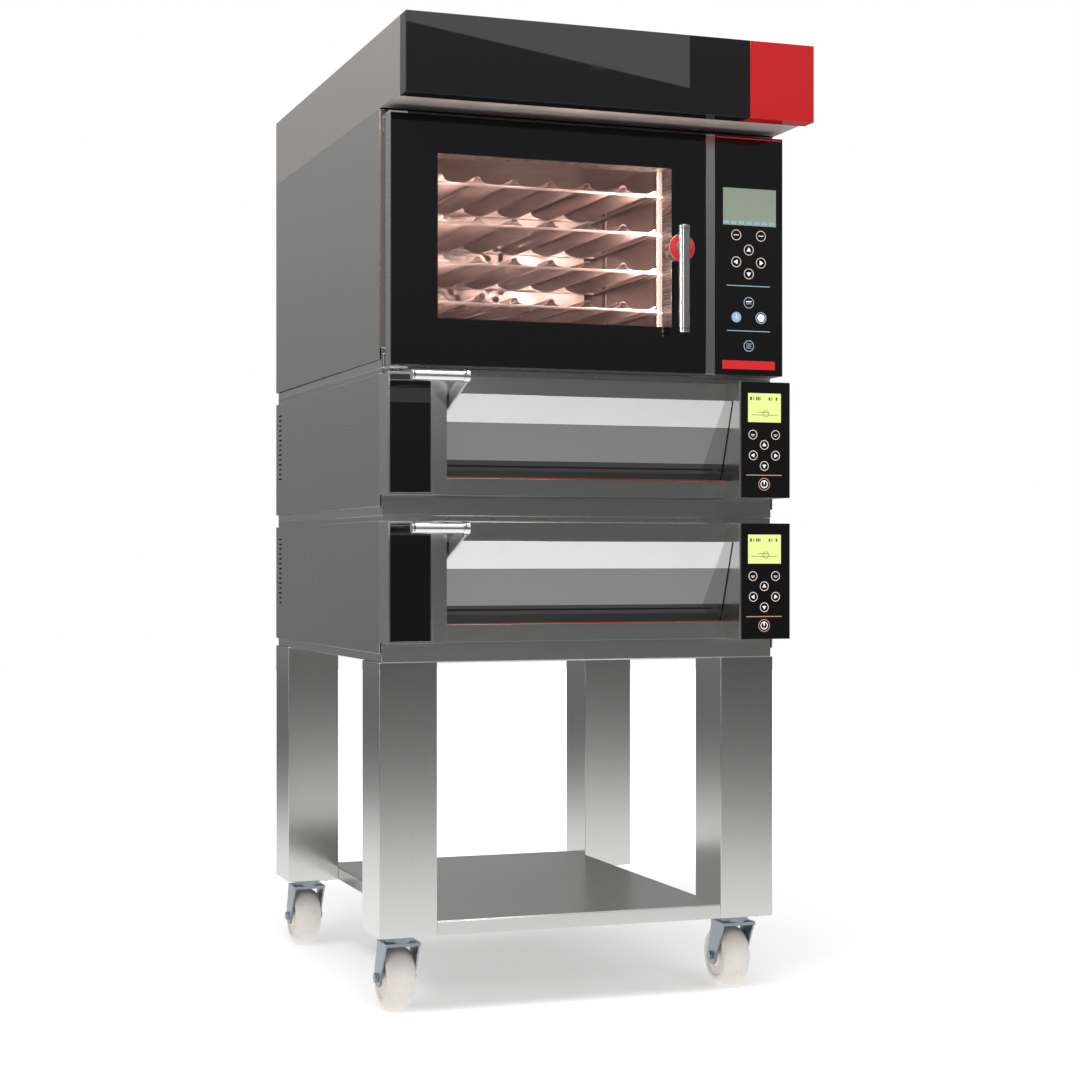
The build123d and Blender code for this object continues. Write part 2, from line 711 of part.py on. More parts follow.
def wave_line(level):
    """One side of the corrugated sheet: a wide channel and a narrow ridge for each loaf."""
    pitch = (tray_width - 2 * rim) / channel_count
    ridge_low = channel_rise * 0.55
    start_x = tray_x[0] + rim
    for count in range(channel_count):
        channel_x = start_x + (count + 0.5) * pitch
        half = (pitch - ridge_width) / 2
        channel = ThreePointArc((channel_x - half, level + ridge_low), (channel_x, level),
                                (channel_x + half, level + ridge_low))
        if count < channel_count - 1:
            ridge_x = channel_x + pitch / 2
            ThreePointArc(channel @ 1, (ridge_x, level + channel_rise),
                          (ridge_x + ridge_width / 2, level + ridge_low))


with BuildPart() as tray:
    wave_start = tray_x[0] + rim + ridge_width / 2
    wave_end = tray_x[1] - rim - ridge_width / 2
    wave_edge = channel_rise * 0.55
    with BuildSketch(Plane.XZ.offset(-(tray_y[1] - rim))) as wave_face:
        with BuildLine():
            wave_line(0)
        with BuildLine():
            wave_line(-tray_sheet)
            Line((wave_start, wave_edge - tray_sheet), (wave_start, wave_edge))
            Line((wave_end, wave_edge - tray_sheet), (wave_end, wave_edge))
        make_face()
    extrude(wave_face.sketch, amount=tray_depth - 2 * rim)
    for rim_y in (tray_y[0] + rim, tray_y[1] - rim):
        bar((tray_x[0] + rim, rim_y, 0), (1, 0, 0), tray_width - 2 * rim, rim)
    for rim_x in (tray_x[0] + rim, tray_x[1] - rim):
        bar((rim_x, tray_y[0] + rim, 0), (0, 1, 0), tray_depth - 2 * rim, rim)
        for corner_y in (tray_y[0] + rim, tray_y[1] - rim):
            with Locations((rim_x, corner_y, 0)):
                Sphere(rim)

with BuildPart() as convection_trays:
    with Locations([(0, 0, level) for level in tray_levels]):
        add(tray.part)
save(convection_trays, "convection_trays")

with BuildPart() as convection_front_post:
    pan((left + post_left, left + post_left + post_width), (front - post_reach, front),
        (oven_base + oven_door_low, oven_base + oven_control_top), sheet, "rear")
save(convection_front_post, "convection_front_post")

oven_control_x = (left + oven_control_left, left + oven_control_right)
oven_control_z = (oven_base + oven_door_low, oven_base + oven_control_top)
control_box("convection_control_box", oven_control_x, oven_control_z, oven_control_reach)

with BuildPart() as convection_control_glass:
    panel_y = front - oven_control_reach
    block(oven_control_x, (panel_y, panel_y + glass_thickness), oven_control_z)
    block(oven_screen_x, (panel_y, panel_y + pocket_depth),
          (oven_base + oven_screen_z[0], oven_base + oven_screen_z[1]), mode=Mode.SUBTRACT)
save(convection_control_glass, "convection_control_glass")

# The door's frame is four channels of sheet, open towards the outer glass.
door_x = (left + oven_door_left, left + oven_door_right)
door_z = (oven_base + oven_door_low, oven_base + oven_door_high)
window_x = (left + window_left, left + window_right)
window_z = (oven_base + window_low, oven_base + window_high)
hinge_x = left + hinge_in
hinge_y = front - hinge_reach
frame_y = (front - oven_door_front + outer_glass, front - oven_door_back)
hub_x = left + hub_in
hub_z = oven_base + hub_height


def hinge_channel(wall, z, mode=Mode.ADD):
    """The channel beside the hinges, or its hollow when a wall's thickness is given.

    Its rear edge is cut back, because it swings towards the oven's front as the door opens.
    """
    cut = wall * (2 ** 0.5 - 1)
    rear_y = frame_y[1] - wall
    near_y = frame_y[0] - wall
    x = (door_x[0] + wall, window_x[0] - wall)
    with BuildSketch(Plane.XY.offset(z[0])) as outline:
        with BuildLine():
            Polyline((x[0], near_y), (x[1], near_y), (x[1], rear_y), (door_x[0] + hinge_relief + cut, rear_y),
                     (x[0], frame_y[1] - hinge_relief - cut), close=True)
        make_face()
    extrude(outline.sketch, amount=z[1] - z[0], mode=mode)


with BuildPart() as convection_door_frame:
    hinge_channel(0, door_z)
    hinge_channel(sheet, (door_z[0] + sheet, door_z[1] - sheet), mode=Mode.SUBTRACT)
    pan((window_x[1], door_x[1]), frame_y, door_z, sheet, "front")
    for bar_z in ((door_z[0], window_z[0]), (window_z[1], door_z[1])):
        pan((window_x[0] + seam, window_x[1] - seam), frame_y, bar_z, sheet, "front")
    block((window_x[1] + sheet, hub_x + 34), (front - oven_door_front + outer_glass + 8, frame_y[1] - sheet),
          (hub_z - 26, hub_z + 26))
    bar((hub_x, frame_y[0], hub_z), (0, 1, 0), frame_y[1] - frame_y[0] - sheet - 1,
        spindle_diameter / 2 + running_fit, mode=Mode.SUBTRACT)
    bar((hinge_x, hinge_y, door_z[0] - 1), (0, 0, 1), door_z[1] - door_z[0] + 2,
        hinge_pin_diameter / 2 + running_fit, mode=Mode.SUBTRACT)
save(convection_door_frame, "convection_door_frame")

with BuildPart() as convection_outer_glass:
    block(door_x, (frame_y[0] - outer_glass, frame_y[0]), door_z)
    bar((hub_x, frame_y[0] - outer_glass, hub_z), (0, 1, 0), outer_glass, spindle_diameter / 2 + 3,
        mode=Mode.SUBTRACT)
save(convection_outer_glass, "convection_outer_glass")

with BuildPart() as convection_inner_glass:
    block((window_x[0] + seam, window_x[1]), (frame_y[1] - inner_glass - 2, frame_y[1] - 2), window_z)
save(convection_inner_glass, "convection_inner_glass")

with BuildPart() as convection_hinges:
    hinge_span = (hinge_x - bracket_width / 2, hinge_x + bracket_width / 2)
    leaf_y = (hinge_y - hinge_pin_diameter - 3, front)
    low_z = (door_z[0] - bracket_gap - bracket_thickness, door_z[0] - bracket_gap)
    high_z = (door_z[1] + bracket_gap, door_z[1] + bracket_gap + bracket_thickness)
    block(hinge_span, leaf_y, low_z)
    block(hinge_span, (front - 3, front), (low_z[0], low_z[1] + 30))
    bar((hinge_x, hinge_y, low_z[1]), (0, 0, 1), hinge_pin_length, hinge_pin_diameter / 2)
    block(hinge_span, leaf_y, high_z)
    block(hinge_span, (front - 3, front), (high_z[0] - 30, high_z[1]))
    bar((hinge_x, hinge_y, high_z[0]), (0, 0, -1), hinge_pin_length, hinge_pin_diameter / 2)
save(convection_hinges, "convection_hinges")

with BuildPart() as convection_door_handle:
    hub_rear = front - oven_door_front - free_gap
    bar((hub_x, hub_rear, hub_z), (0, -1, 0), hub_depth, hub_diameter / 2)
    bar((hub_x, hub_rear, hub_z), (0, 1, 0), frame_y[1] - sheet - 2 - hub_rear, spindle_diameter / 2)
    bar_y = front - bar_reach
    bar((hub_x + bar_shift, hub_rear - hub_depth + 1, hub_z), (0, -1, 0), hub_rear - hub_depth + 1 - bar_y,
        neck_diameter / 2)
    bar((hub_x + bar_shift, bar_y, hub_z - bar_below), (0, 0, 1), bar_below + bar_above, bar_diameter / 2)
save(convection_door_handle, "convection_door_handle")

# ---------------------------------------------------------------- hood

hood_front = front - hood_reach
with BuildPart() as hood_shell:
    for side_x in ((left, left + sheet), (right - sheet, right)):
        block(side_x, (hood_front, rear), (hood_base, hood_top))
    inner_x = (left + sheet + seam, right - sheet - seam)
    block(inner_x, (hood_front, rear), (hood_top - sheet, hood_top))
    block(inner_x, (rear - sheet, rear), (hood_base, hood_top - sheet - seam))
    block(inner_x, (hood_front, front - intake_gap), (hood_base, hood_base + sheet))
    spigot_y = rear - spigot_from_rear
    bar((0, spigot_y, hood_top - sheet), (0, 0, 1), sheet, spigot_diameter / 2 + seam, mode=Mode.SUBTRACT)
save(hood_shell, "hood_shell")

fascia_z = (hood_base - fascia_drop, hood_top)
fascia_y = (hood_front - fascia_thickness, hood_front)
badge_left = right - badge_width
for panel_name, panel_x in (("hood_fascia", (left, badge_left - seam)), ("hood_badge", (badge_left, right))):
    with BuildPart() as fascia_panel:
        return_y = (fascia_y[0] + fascia_wall + seam, fascia_y[1])
        block(panel_x, (fascia_y[0], fascia_y[0] + fascia_wall), fascia_z)
        for return_x in ((panel_x[0], panel_x[0] + fascia_wall), (panel_x[1] - fascia_wall, panel_x[1])):
            block(return_x, return_y, fascia_z)
        inner_x = (panel_x[0] + fascia_wall + seam, panel_x[1] - fascia_wall - seam)
        block(inner_x, return_y, (fascia_z[0], fascia_z[0] + fascia_wall))
        block(inner_x, return_y, (fascia_z[1] - fascia_wall, fascia_z[1]))
    save(fascia_panel, panel_name)

with BuildPart() as hood_filter:
    filter_x = (left + sheet + seam, right - sheet - seam)
    filter_y = (front + filter_set_back, front + filter_set_back + sheet)
    filter_z = (hood_base + seam, hood_top - sheet - seam)
    block(filter_x, filter_y, filter_z)
    slot_count = int((body_width - 2 * filter_side) // slot_pitch)
    for count in range(slot_count):
        slot_x = left + filter_side + count * slot_pitch
        block((slot_x, slot_x + slot_width), (filter_y[0] - 1, filter_y[1] + 1),
              (filter_z[0] + slot_end, filter_z[1] - slot_end), mode=Mode.SUBTRACT)
save(hood_filter, "hood_filter")

with BuildPart() as exhaust_collar:
    flange_low = hood_top - sheet - seam - flange_thickness
    spigot_length = hood_top + spigot_height - flange_low
    neck_top = hood_top + neck_height
    bar((0, spigot_y, flange_low), (0, 0, 1), neck_top - flange_low, spigot_diameter / 2 - neck_relief)
    bar((0, spigot_y, neck_top), (0, 0, 1), hood_top + spigot_height - neck_top, spigot_diameter / 2)
    bar((0, spigot_y, flange_low), (0, 0, 1), flange_thickness, spigot_diameter / 2 + flange_width)
    bar((0, spigot_y, flange_low), (0, 0, 1), spigot_length, spigot_diameter / 2 - spigot_wall,
        mode=Mode.SUBTRACT)
save(exhaust_collar, "exhaust_collar")

# ---------------------------------------------------------------- shared pieces

module_spans = [(base + side_lift, base + deck_side_top) for base in deck_bases.values()]
module_spans.append((oven_base + side_lift, hood_base))

with BuildPart() as rear_panels:
    for low, high in module_spans:
        block((left + sheet + seam, right - sheet - seam), (rear - sheet, rear), (low, high - sheet - seam))
save(rear_panels, "rear_panels")

with BuildPart() as cable_glands:
    for low, high in module_spans:
        gland_z = low + 70
        bar((right - gland_in, rear, gland_z), (0, 1, 0), gland_length * 0.6, gland_diameter / 2)
        bar((right - gland_in, rear, gland_z), (0, 1, 0), gland_length, gland_diameter / 2 - 4)
        bar((right - gland_in, rear, gland_z), (0, 1, 0), gland_length, gland_bore / 2, mode=Mode.SUBTRACT)
save(cable_glands, "cable_glands")

with BuildPart() as displays:
    for base in deck_bases.values():
        block(deck_screen_x, (front - control_reach, front - control_reach + pocket_depth),
              (base + deck_screen_z[0], base + deck_screen_z[1]))
    block(oven_screen_x, (panel_y, panel_y + pocket_depth),
          (oven_base + oven_screen_z[0], oven_base + oven_screen_z[1]))
save(displays, "displays")


def control_board(x_middle, reach, z):
    """A circuit board on four posts that stand on the rear wall of its control box."""
    board_y = front - reach
    half = board_width / 2
    block((x_middle - half, x_middle + half), (board_y - board_thickness, board_y), z)
    for post_x in (x_middle - half + 6, x_middle + half - 6):
        for post_z in (z[0] + 6, z[1] - 6):
            bar((post_x, board_y, post_z), (0, 1, 0), reach - sheet, 3)


with BuildPart() as control_boards:
    for base in deck_bases.values():
        board_z = (base + plinth_height + 25, base + front_top - 25)
        control_board(control_left + control_width / 2, 50, board_z)
    control_board(sum(oven_control_x) / 2, 40, (oven_base + 120, oven_base + oven_screen_z[1]))
save(control_boards, "control_boards")

with BuildPart() as insulation:
    slab_x = (chamber_left, chamber_right)
    for base in deck_bases.values():
        block(slab_x, (front + sheet + insulation_gap, chamber_rear),
              (base + chamber_roof + sheet + insulation_gap, base + deck_side_top - sheet - insulation_gap))
        for side_x in ((left + sheet + insulation_gap, chamber_left - sheet - insulation_gap),
                       (chamber_right + sheet + insulation_gap, right - sheet - insulation_gap)):
            block(side_x, (front + sheet + insulation_gap, rear - 120),
                  (base + plinth_height, base + chamber_roof))
    block((cavity_x[0], right - 100), (front + sheet + insulation_gap, cavity_rear),
          (cavity_z[1] + 2 * sheet, oven_base + convection_height - sheet - insulation_gap))
    block((left + sheet + insulation_gap, cavity_x[0] - sheet - insulation_gap),
          (front + sheet + insulation_gap, cavity_rear), cavity_z)
save(insulation, "insulation")

for deck, base in deck_bases.items():
    print(deck, "deck door shaft at", [0, round(front - pivot_reach, 3), round(base + pivot_rise, 3)])
print("convection door hinge at", [hinge_x, hinge_y], "handle at", [hub_x, hub_z], "fan at", [fan_x, fan_z])
print("castors at", castor_places, "axles", axle_z, castor_trail)
print("exhaust collar at", [0, spigot_y, hood_top], "hood top", hood_top, "front", front, "rear", rear)
print("oven base", oven_base, "mouth", mouth_left, mouth_right)
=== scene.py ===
"""Finishes and fine pieces of a stacked bakery oven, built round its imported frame."""

import json
import math

import bmesh
import bpy
from bpy.props import FloatProperty, FloatVectorProperty, PointerProperty
from mathutils import Matrix, Vector


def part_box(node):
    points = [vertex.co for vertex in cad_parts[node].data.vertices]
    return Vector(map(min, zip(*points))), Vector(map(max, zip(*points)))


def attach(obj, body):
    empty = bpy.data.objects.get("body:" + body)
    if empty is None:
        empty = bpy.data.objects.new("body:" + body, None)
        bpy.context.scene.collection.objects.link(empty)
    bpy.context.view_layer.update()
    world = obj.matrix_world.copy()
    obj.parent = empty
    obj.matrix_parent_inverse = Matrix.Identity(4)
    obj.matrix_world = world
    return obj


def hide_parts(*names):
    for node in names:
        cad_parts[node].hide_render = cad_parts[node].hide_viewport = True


bl_info = {
    "name": "Stacked bakery oven",
    "version": (1, 0, 0),
    "blender": (4, 5, 0),
    "location": "3D View > Sidebar > Bakery oven",
    "description": "Finishes and fine pieces of a stacked bakery oven",
    "category": "Object",
}

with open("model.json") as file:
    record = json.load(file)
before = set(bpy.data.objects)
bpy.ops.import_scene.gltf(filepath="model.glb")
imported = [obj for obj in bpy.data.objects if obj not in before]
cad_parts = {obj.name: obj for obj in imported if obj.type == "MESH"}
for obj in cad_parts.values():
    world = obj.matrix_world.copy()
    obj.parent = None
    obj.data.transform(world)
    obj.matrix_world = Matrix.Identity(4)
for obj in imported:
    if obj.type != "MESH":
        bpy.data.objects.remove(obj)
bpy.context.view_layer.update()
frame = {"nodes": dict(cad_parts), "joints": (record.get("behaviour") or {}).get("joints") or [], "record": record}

NODES = frame["nodes"]
BODY_OF = {node: body for body, held in frame["record"]["behaviour"]["bodies"].items() for node in held}
DECKS = ("lower", "upper")
CORNERS = ("front_left", "front_right", "rear_left", "rear_right")
MM = 0.001
FLOOR_RADIUS = 14
LAMP_COLOUR = (1.0, 0.74, 0.66)


# ---- shapes

def slab(shell, low, high):
    """Adds a box between two corners."""
    low, high = Vector(low), Vector(high)
    place = Matrix.Translation((low + high) / 2) @ Matrix.Diagonal((*(high - low), 1))
    return bmesh.ops.create_cube(shell, size=1, matrix=place)["verts"]


def in_mm(*points):
    return [(radius * MM, height * MM) for radius, height in points]


def standing(centre, axis):
    """The place of a shape that stands at a centre along an axis."""
    return Matrix.Translation(centre) @ Vector((0, 0, 1)).rotation_difference(Vector(axis)).to_matrix().to_4x4()


def grow(shell, face, depth):
    """Gives a flat face a thickness along depth."""
    grown = bmesh.ops.extrude_face_region(shell, geom=[face])["geom"]
    bmesh.ops.translate(shell, vec=depth, verts=[item for item in grown if isinstance(item, bmesh.types.BMVert)])


def cut(shell, place, normal):
    """Cuts every face along a plane."""
    bmesh.ops.bisect_plane(shell, geom=shell.verts[:] + shell.edges[:] + shell.faces[:], plane_co=place,
                           plane_no=normal, dist=1e-6)


def turned(shell, centre, axis, outline, closed=False, steps=48):
    """Adds a turned shape: an outline of (radius, height) points, spun once round an axis."""
    place = standing(centre, axis)
    points = [shell.verts.new(place @ Vector((radius, 0, height))) for radius, height in outline]
    lines = [shell.edges.new(pair) for pair in zip(points, points[1:])]
    if closed:
        lines.append(shell.edges.new((points[-1], points[0])))
    bmesh.ops.spin(shell, geom=points + lines, cent=centre, axis=axis, angle=math.tau, steps=steps,
                   use_merge=True)


def stamp(shell, points, depth):
    """Adds a flat outline given a thickness along depth."""
    grow(shell, shell.faces.new([shell.verts.new(point) for point in points]), depth)


def sharp_edges(shell, limit=math.radians(38)):
    return [edge for edge in shell.edges if edge.is_manifold and edge.calc_face_angle(0) > limit]


def shade(shell, limit=math.radians(38)):
    """Smooths the round faces and keeps the flat ones and the hard edges as they are."""
    for face in shell.faces:
        face.smooth = any(math.radians(0.3) < edge.calc_face_angle(0) < limit for edge in face.edges
                          if edge.is_manifold)
    for edge in shell.edges:
        edge.smooth = edge.is_manifold and edge.calc_face_angle(0) < limit


def soften(shell, width, segments=2):
    """Rounds every hard edge off by a width."""
    shade(shell)
    made = bmesh.ops.bevel(shell, geom=sharp_edges(shell), offset=width, affect="EDGES", segments=segments,
                           profile=0.5, material=-1, clamp_overlap=True)
    for face in made["faces"]:
        face.smooth = True


def piece(shell, name, body, finishes, edge=0, segments=2):
    """Turns a bmesh into a piece that rides on a body."""
    bmesh.ops.remove_doubles(shell, verts=shell.verts, dist=1e-6)
    bmesh.ops.recalc_face_normals(shell, faces=shell.faces)
    if edge:
        soften(shell, edge, segments)
    else:
        shade(shell)
    return finished(shell, name, body, finishes)


def placed(shell, name, finishes):
    """Puts a bmesh into the scene as an object; finishes is one material or a list."""
    mesh = bpy.data.meshes.new(name)
    shell.to_mesh(mesh)
    shell.free()
    made = bpy.data.objects.new(name, mesh)
    bpy.context.scene.collection.objects.link(made)
    for finish in finishes if isinstance(finishes, list) else [finishes]:
        mesh.materials.append(finish)
    return made


def finished(shell, name, body, finishes):
    made = placed(shell, name, finishes)
    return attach(made, body)


def merged(node):
    """A bmesh copy of a CAD node with its loose triangles joined into flat faces."""
    shell = bmesh.new()
    shell.from_mesh(NODES[node].data)
    bmesh.ops.remove_doubles(shell, verts=shell.verts, dist=1e-5)
    bmesh.ops.dissolve_limit(shell, angle_limit=math.radians(0.2), verts=shell.verts, edges=shell.edges)
    return shell


def eased(node, finish, edge=0.6 * MM, segments=2):
    """Shows a CAD node with its edges eased, as folded or ground metal has them."""
    shell = merged(node)
    soften(shell, edge, segments)
    made = finished(shell, node + "_eased", BODY_OF[node], finish)
    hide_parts(node)
    return made


def paint(node, finish):
    """Gives a CAD node a finish and leaves its shape alone."""
    mesh = NODES[node].data
    mesh.materials.clear()
    mesh.materials.append(finish)


# ---- finishes

class Wire:
    """A shader value, written in expressions as a number is."""

    def __init__(self, finish, socket):
        self.finish = finish
        self.socket = socket

    def maths(self, operation, first, second):
        return self.finish.node("Math", {"operation": operation}, {0: first, 1: second})

    def __add__(self, other):
        return self.maths("ADD", self, other)

    def __sub__(self, other):
        return self.maths("SUBTRACT", self, other)

    def __rsub__(self, other):
        return self.maths("SUBTRACT", other, self)

    def __mul__(self, other):
        return self.maths("MULTIPLY", self, other)

    def __truediv__(self, other):
        return self.maths("DIVIDE", self, other)

    def __gt__(self, other):
        return self.maths("GREATER_THAN", self, other)

    __radd__ = __add__
    __rmul__ = __mul__


class Finish:
    """A material in the making, with a Principled shader."""

    def __init__(self, name, **constants):
        self.material = bpy.data.materials.new(name)
        self.material.use_nodes = True
        self.tree = self.material.node_tree
        self.shader = self.tree.nodes["Principled BSDF"]
        self.bumps = None
        for socket, value in constants.items():
            self.shader.inputs[socket.replace("_", " ")].default_value = value

    def node(self, kind, settings=None, inputs=None, output=0):
        """Adds a node: its settings first, then the values or links of its sockets."""
        made = self.tree.nodes.new("ShaderNode" + kind)
        for setting, value in (settings or {}).items():
            if setting == "stops":
                ramp = made.color_ramp
                while len(ramp.elements) < len(value):
                    ramp.elements.new(0.5)
                for element, (position, tone) in zip(ramp.elements, value):
                    element.position = position
                    element.color = (tone, tone, tone, 1)
            else:
                setattr(made, setting, value)
        for socket, value in (inputs or {}).items():
            if isinstance(value, Wire):
                self.tree.links.new(value.socket, made.inputs[socket])
            else:
                made.inputs[socket].default_value = value
        return Wire(self, made.outputs[output])

    def spot(self, scale=(1, 1, 1)):
        """Object coordinates, scaled."""
        place = self.node("TexCoord", output="Object")
        return self.node("Mapping", {}, {"Vector": place, "Scale": scale})

    def noise(self, scale, vector=None, detail=2, rough=0.5):
        return self.node("TexNoise", {}, {"Vector": vector or self.spot(), "Scale": scale,
                                                    "Detail": detail, "Roughness": rough})

    def blend(self, share, first, second):
        """A colour between two colours."""
        values = {"Factor": share, "A": rgba(first), "B": rgba(second)}
        made = self.tree.nodes.new("ShaderNodeMix")
        made.data_type = "RGBA"
        for socket in made.inputs:
            if not socket.enabled or socket.name not in values:
                continue
            value = values[socket.name]
            if isinstance(value, Wire):
                self.tree.links.new(value.socket, socket)
            else:
                socket.default_value = value
        return Wire(self, next(socket for socket in made.outputs if socket.enabled))

    def ramp(self, value, *stops):
        return self.node("ValToRGB", {"stops": stops}, {"Fac": value})

    def bump(self, height, depth, strength=1.0):
        """Adds a relief to the surface, depth in metres."""
        inputs = {"Height": height, "Distance": depth, "Strength": strength}
        if self.bumps:
            inputs["Normal"] = self.bumps
        self.bumps = self.node("Bump", {}, inputs)

    def done(self, **links):
        """Links what varies over the surface and hands the material over."""
        if self.bumps:
            links["Normal"] = self.bumps
        for socket, value in links.items():
            self.tree.links.new(value.socket, self.shader.inputs[socket.replace("_", " ")])
        return self.material


def rgba(colour):
    if isinstance(colour, Wire) or len(colour) == 4:
        return colour
    return (*colour, 1)


def shifted(colour, factor):
    return tuple(min(1, channel * factor) for channel in tuple(colour)[:3])


def brushed_steel(name, colour, grain, roughness):
    """Stainless sheet, ground along one axis, with faint wiping marks."""
    finish = Finish(name, Metallic=1)
    along = "xyz".index(grain)
    fine, broad = [1400] * 3, [130] * 3
    fine[along], broad[along] = 9, 0.8
    lines = finish.noise(1, finish.spot(fine), 2, 0.5)
    bands = finish.noise(1, finish.spot(broad), 1)
    wiping = finish.noise(2.5, None, 2, 0.5)
    share = lines * 0.55 + bands * 0.25 + wiping * 0.2
    finish.bump(lines, 0.00001)
    return finish.done(
        Base_Color=finish.blend(share, shifted(colour, 0.92), shifted(colour, 1.06)),
        Roughness=roughness - 0.04 + lines * 0.05 + wiping * 0.03)


def polished_steel(name, colour, roughness=0.07):
    """Mirror-finished steel with a few hairlines and finger marks."""
    finish = Finish(name, Metallic=1)
    hairs = finish.noise(1, finish.spot((8, 700, 700)), 2)
    marks = finish.noise(16, None, 5, 0.65)
    finish.bump(hairs, 0.000006)
    return finish.done(Base_Color=finish.blend(marks, shifted(colour, 0.94), shifted(colour, 1.04)),
                       Roughness=roughness + (marks > 0.56) * 0.03 + hairs * 0.04)


def zinc_plate(name, colour):
    """Bright zinc plating with its fine crystal pattern."""
    finish = Finish(name, Metallic=1)
    crystals = finish.node("TexVoronoi", {}, {"Vector": finish.spot(), "Scale": 160}, "Color")
    tone = finish.node("SeparateColor", {}, {"Color": crystals}, "Red")
    cloud = finish.noise(25, None, 3)
    finish.bump(cloud, 0.00008, 0.5)
    return finish.done(Base_Color=finish.blend(tone * 0.6 + cloud * 0.4, shifted(colour, 0.8),
                                               shifted(colour, 1.12)),
                       Roughness=0.28 + tone * 0.12 + cloud * 0.08)


def painted_glass(name, colour, roughness=0.008, index=1.5):
    """Toughened glass with colour fired on its back, and a few finger marks."""
    finish = Finish(name, IOR=index)
    marks = finish.noise(11, None, 5, 0.62)
    dust = finish.noise(900, None, 1)
    speck = (dust > 0.72) * (marks > 0.5)
    finish.bump(finish.noise(5), 0.00004, 0.2)
    return finish.done(Base_Color=finish.blend(speck * 0.25, colour, shifted(colour, 2.2)),
                       Roughness=roughness + (marks > 0.62) * 0.02 + marks * 0.012)


def see_through_glass(name, colour, veil):
    """Clear glass; veil is how much of its surface shows."""
    finish = Finish(name, IOR=1.5)
    marks = finish.noise(9, None, 5, 0.6)
    return finish.done(Base_Color=finish.blend(marks, colour, shifted(colour, 1.6)),
                       Roughness=0.02 + marks * 0.04, Alpha=veil + marks * 0.05)


def nylon(name, colour):
    """Cast nylon, waxy and slightly mottled, with scuffs."""
    finish = Finish(name, Subsurface_Weight=0.08, Subsurface_Scale=0.004, Specular_IOR_Level=0.4)
    mottle = finish.noise(60, None, 4, 0.6)
    scuffs = finish.noise(1, finish.spot((300, 40, 300)), 3)
    finish.bump(mottle, 0.00015, 0.6)
    scuffed = (scuffs > 0.62) * 0.25
    return finish.done(Base_Color=finish.blend(mottle * 0.4 + scuffed, colour, shifted(colour, 0.72)),
                       Roughness=0.36 + mottle * 0.16 + scuffed)


def moulded(name, colour, roughness, grain=900, depth=0.00008):
    """Moulded plastic or rubber with a fine leather-like grain."""
    finish = Finish(name)
    texture = finish.noise(grain, None, 3)
    cloud = finish.noise(14, None, 3)
    finish.bump(texture, depth, 0.6)
    return finish.done(Base_Color=finish.blend(cloud, shifted(colour, 0.85), shifted(colour, 1.25)),
                       Roughness=roughness - 0.08 + cloud * 0.16)


def enamel(name, colour):
    """Hard glossy enamel with a faint orange peel."""
    finish = Finish(name, Coat_Weight=0.6, Coat_Roughness=0.04)
    peel = finish.noise(240, None, 2)
    cloud = finish.noise(30, None, 3)
    finish.bump(peel, 0.00003, 0.5)
    return finish.done(Base_Color=finish.blend(cloud, shifted(colour, 0.92), shifted(colour, 1.06)),
                       Roughness=0.18 + cloud * 0.1)


def glowing(name, colour, strength, cells):
    """A lit display: its colour, and the fine grid of its cells."""
    finish = Finish(name, Roughness=0.25, Emission_Strength=strength)
    spot = finish.spot((cells, cells, cells))
    wave = finish.node("TexChecker", {}, {"Vector": spot, "Scale": 1}, "Fac")
    haze = finish.noise(22, None, 2)
    lit = finish.blend(wave * 0.08 + haze * 0.25, colour, shifted(colour, 0.8))
    return finish.done(Base_Color=finish.blend(haze, shifted(colour, 0.3), shifted(colour, 0.45)),
                       Emission_Color=lit)


def printed(name, colour, strength):
    """Screen-printed ink with a soft unevenness; its glow is painted light, not a lamp behind it."""
    finish = Finish(name, Roughness=0.4, Emission_Strength=strength)
    grit = finish.noise(700, None, 2)
    ink = finish.blend(grit, shifted(colour, 0.85), shifted(colour, 1.08))
    # the ink's colour feeds the emission too: painted light that makes the print glow
    return finish.done(Base_Color=ink, Emission_Color=ink)


def fired_stone(name, colour):
    """Pressed baking stone with pores, grit and flour dust."""
    finish = Finish(name, Specular_IOR_Level=0.2)
    grit = finish.noise(420, None, 4, 0.7)
    pores = finish.node("TexVoronoi", {}, {"Vector": finish.spot(), "Scale": 260}, "Distance")
    flour = finish.noise(6, None, 4)
    finish.bump(pores, 0.0004, 0.7)
    tone = finish.blend(grit, shifted(colour, 0.7), shifted(colour, 1.2))
    return finish.done(Base_Color=finish.blend((flour > 0.55) * 0.25, tone, (0.75, 0.72, 0.66)),
                       Roughness=0.82 + grit * 0.12)


def perforated_sheet(name, colour, pitch):
    """Aluminium tray sheet with rows of round holes, darkened by baking."""
    finish = Finish(name, Metallic=0.9)
    cell = finish.node("TexVoronoi", {"voronoi_dimensions": "2D"},
                       {"Vector": finish.spot((1 / pitch, 1 / pitch, 1)), "Scale": 1, "Randomness": 0},
                       "Distance")
    baked = finish.noise(14, None, 4)
    whole = cell > 0.27
    finish.bump(cell, 0.0003, 0.5)
    return finish.done(Base_Color=finish.blend(baked, shifted(colour, 0.6), shifted(colour, 1.1)),
                       Roughness=0.50 + baked * 0.2, Alpha=whole)


def heated_metal(name, colour, tint, metallic=1.0):
    """Metal browned by heat in uneven patches."""
    finish = Finish(name, Metallic=metallic)
    patches = finish.noise(9, None, 5, 0.62)
    fine = finish.noise(1, finish.spot((30, 400, 400)), 3)
    finish.bump(fine, 0.00005, 0.6)
    return finish.done(Base_Color=finish.blend(patches, colour, tint),
                       Roughness=0.25 + patches * 0.2 + fine * 0.1)


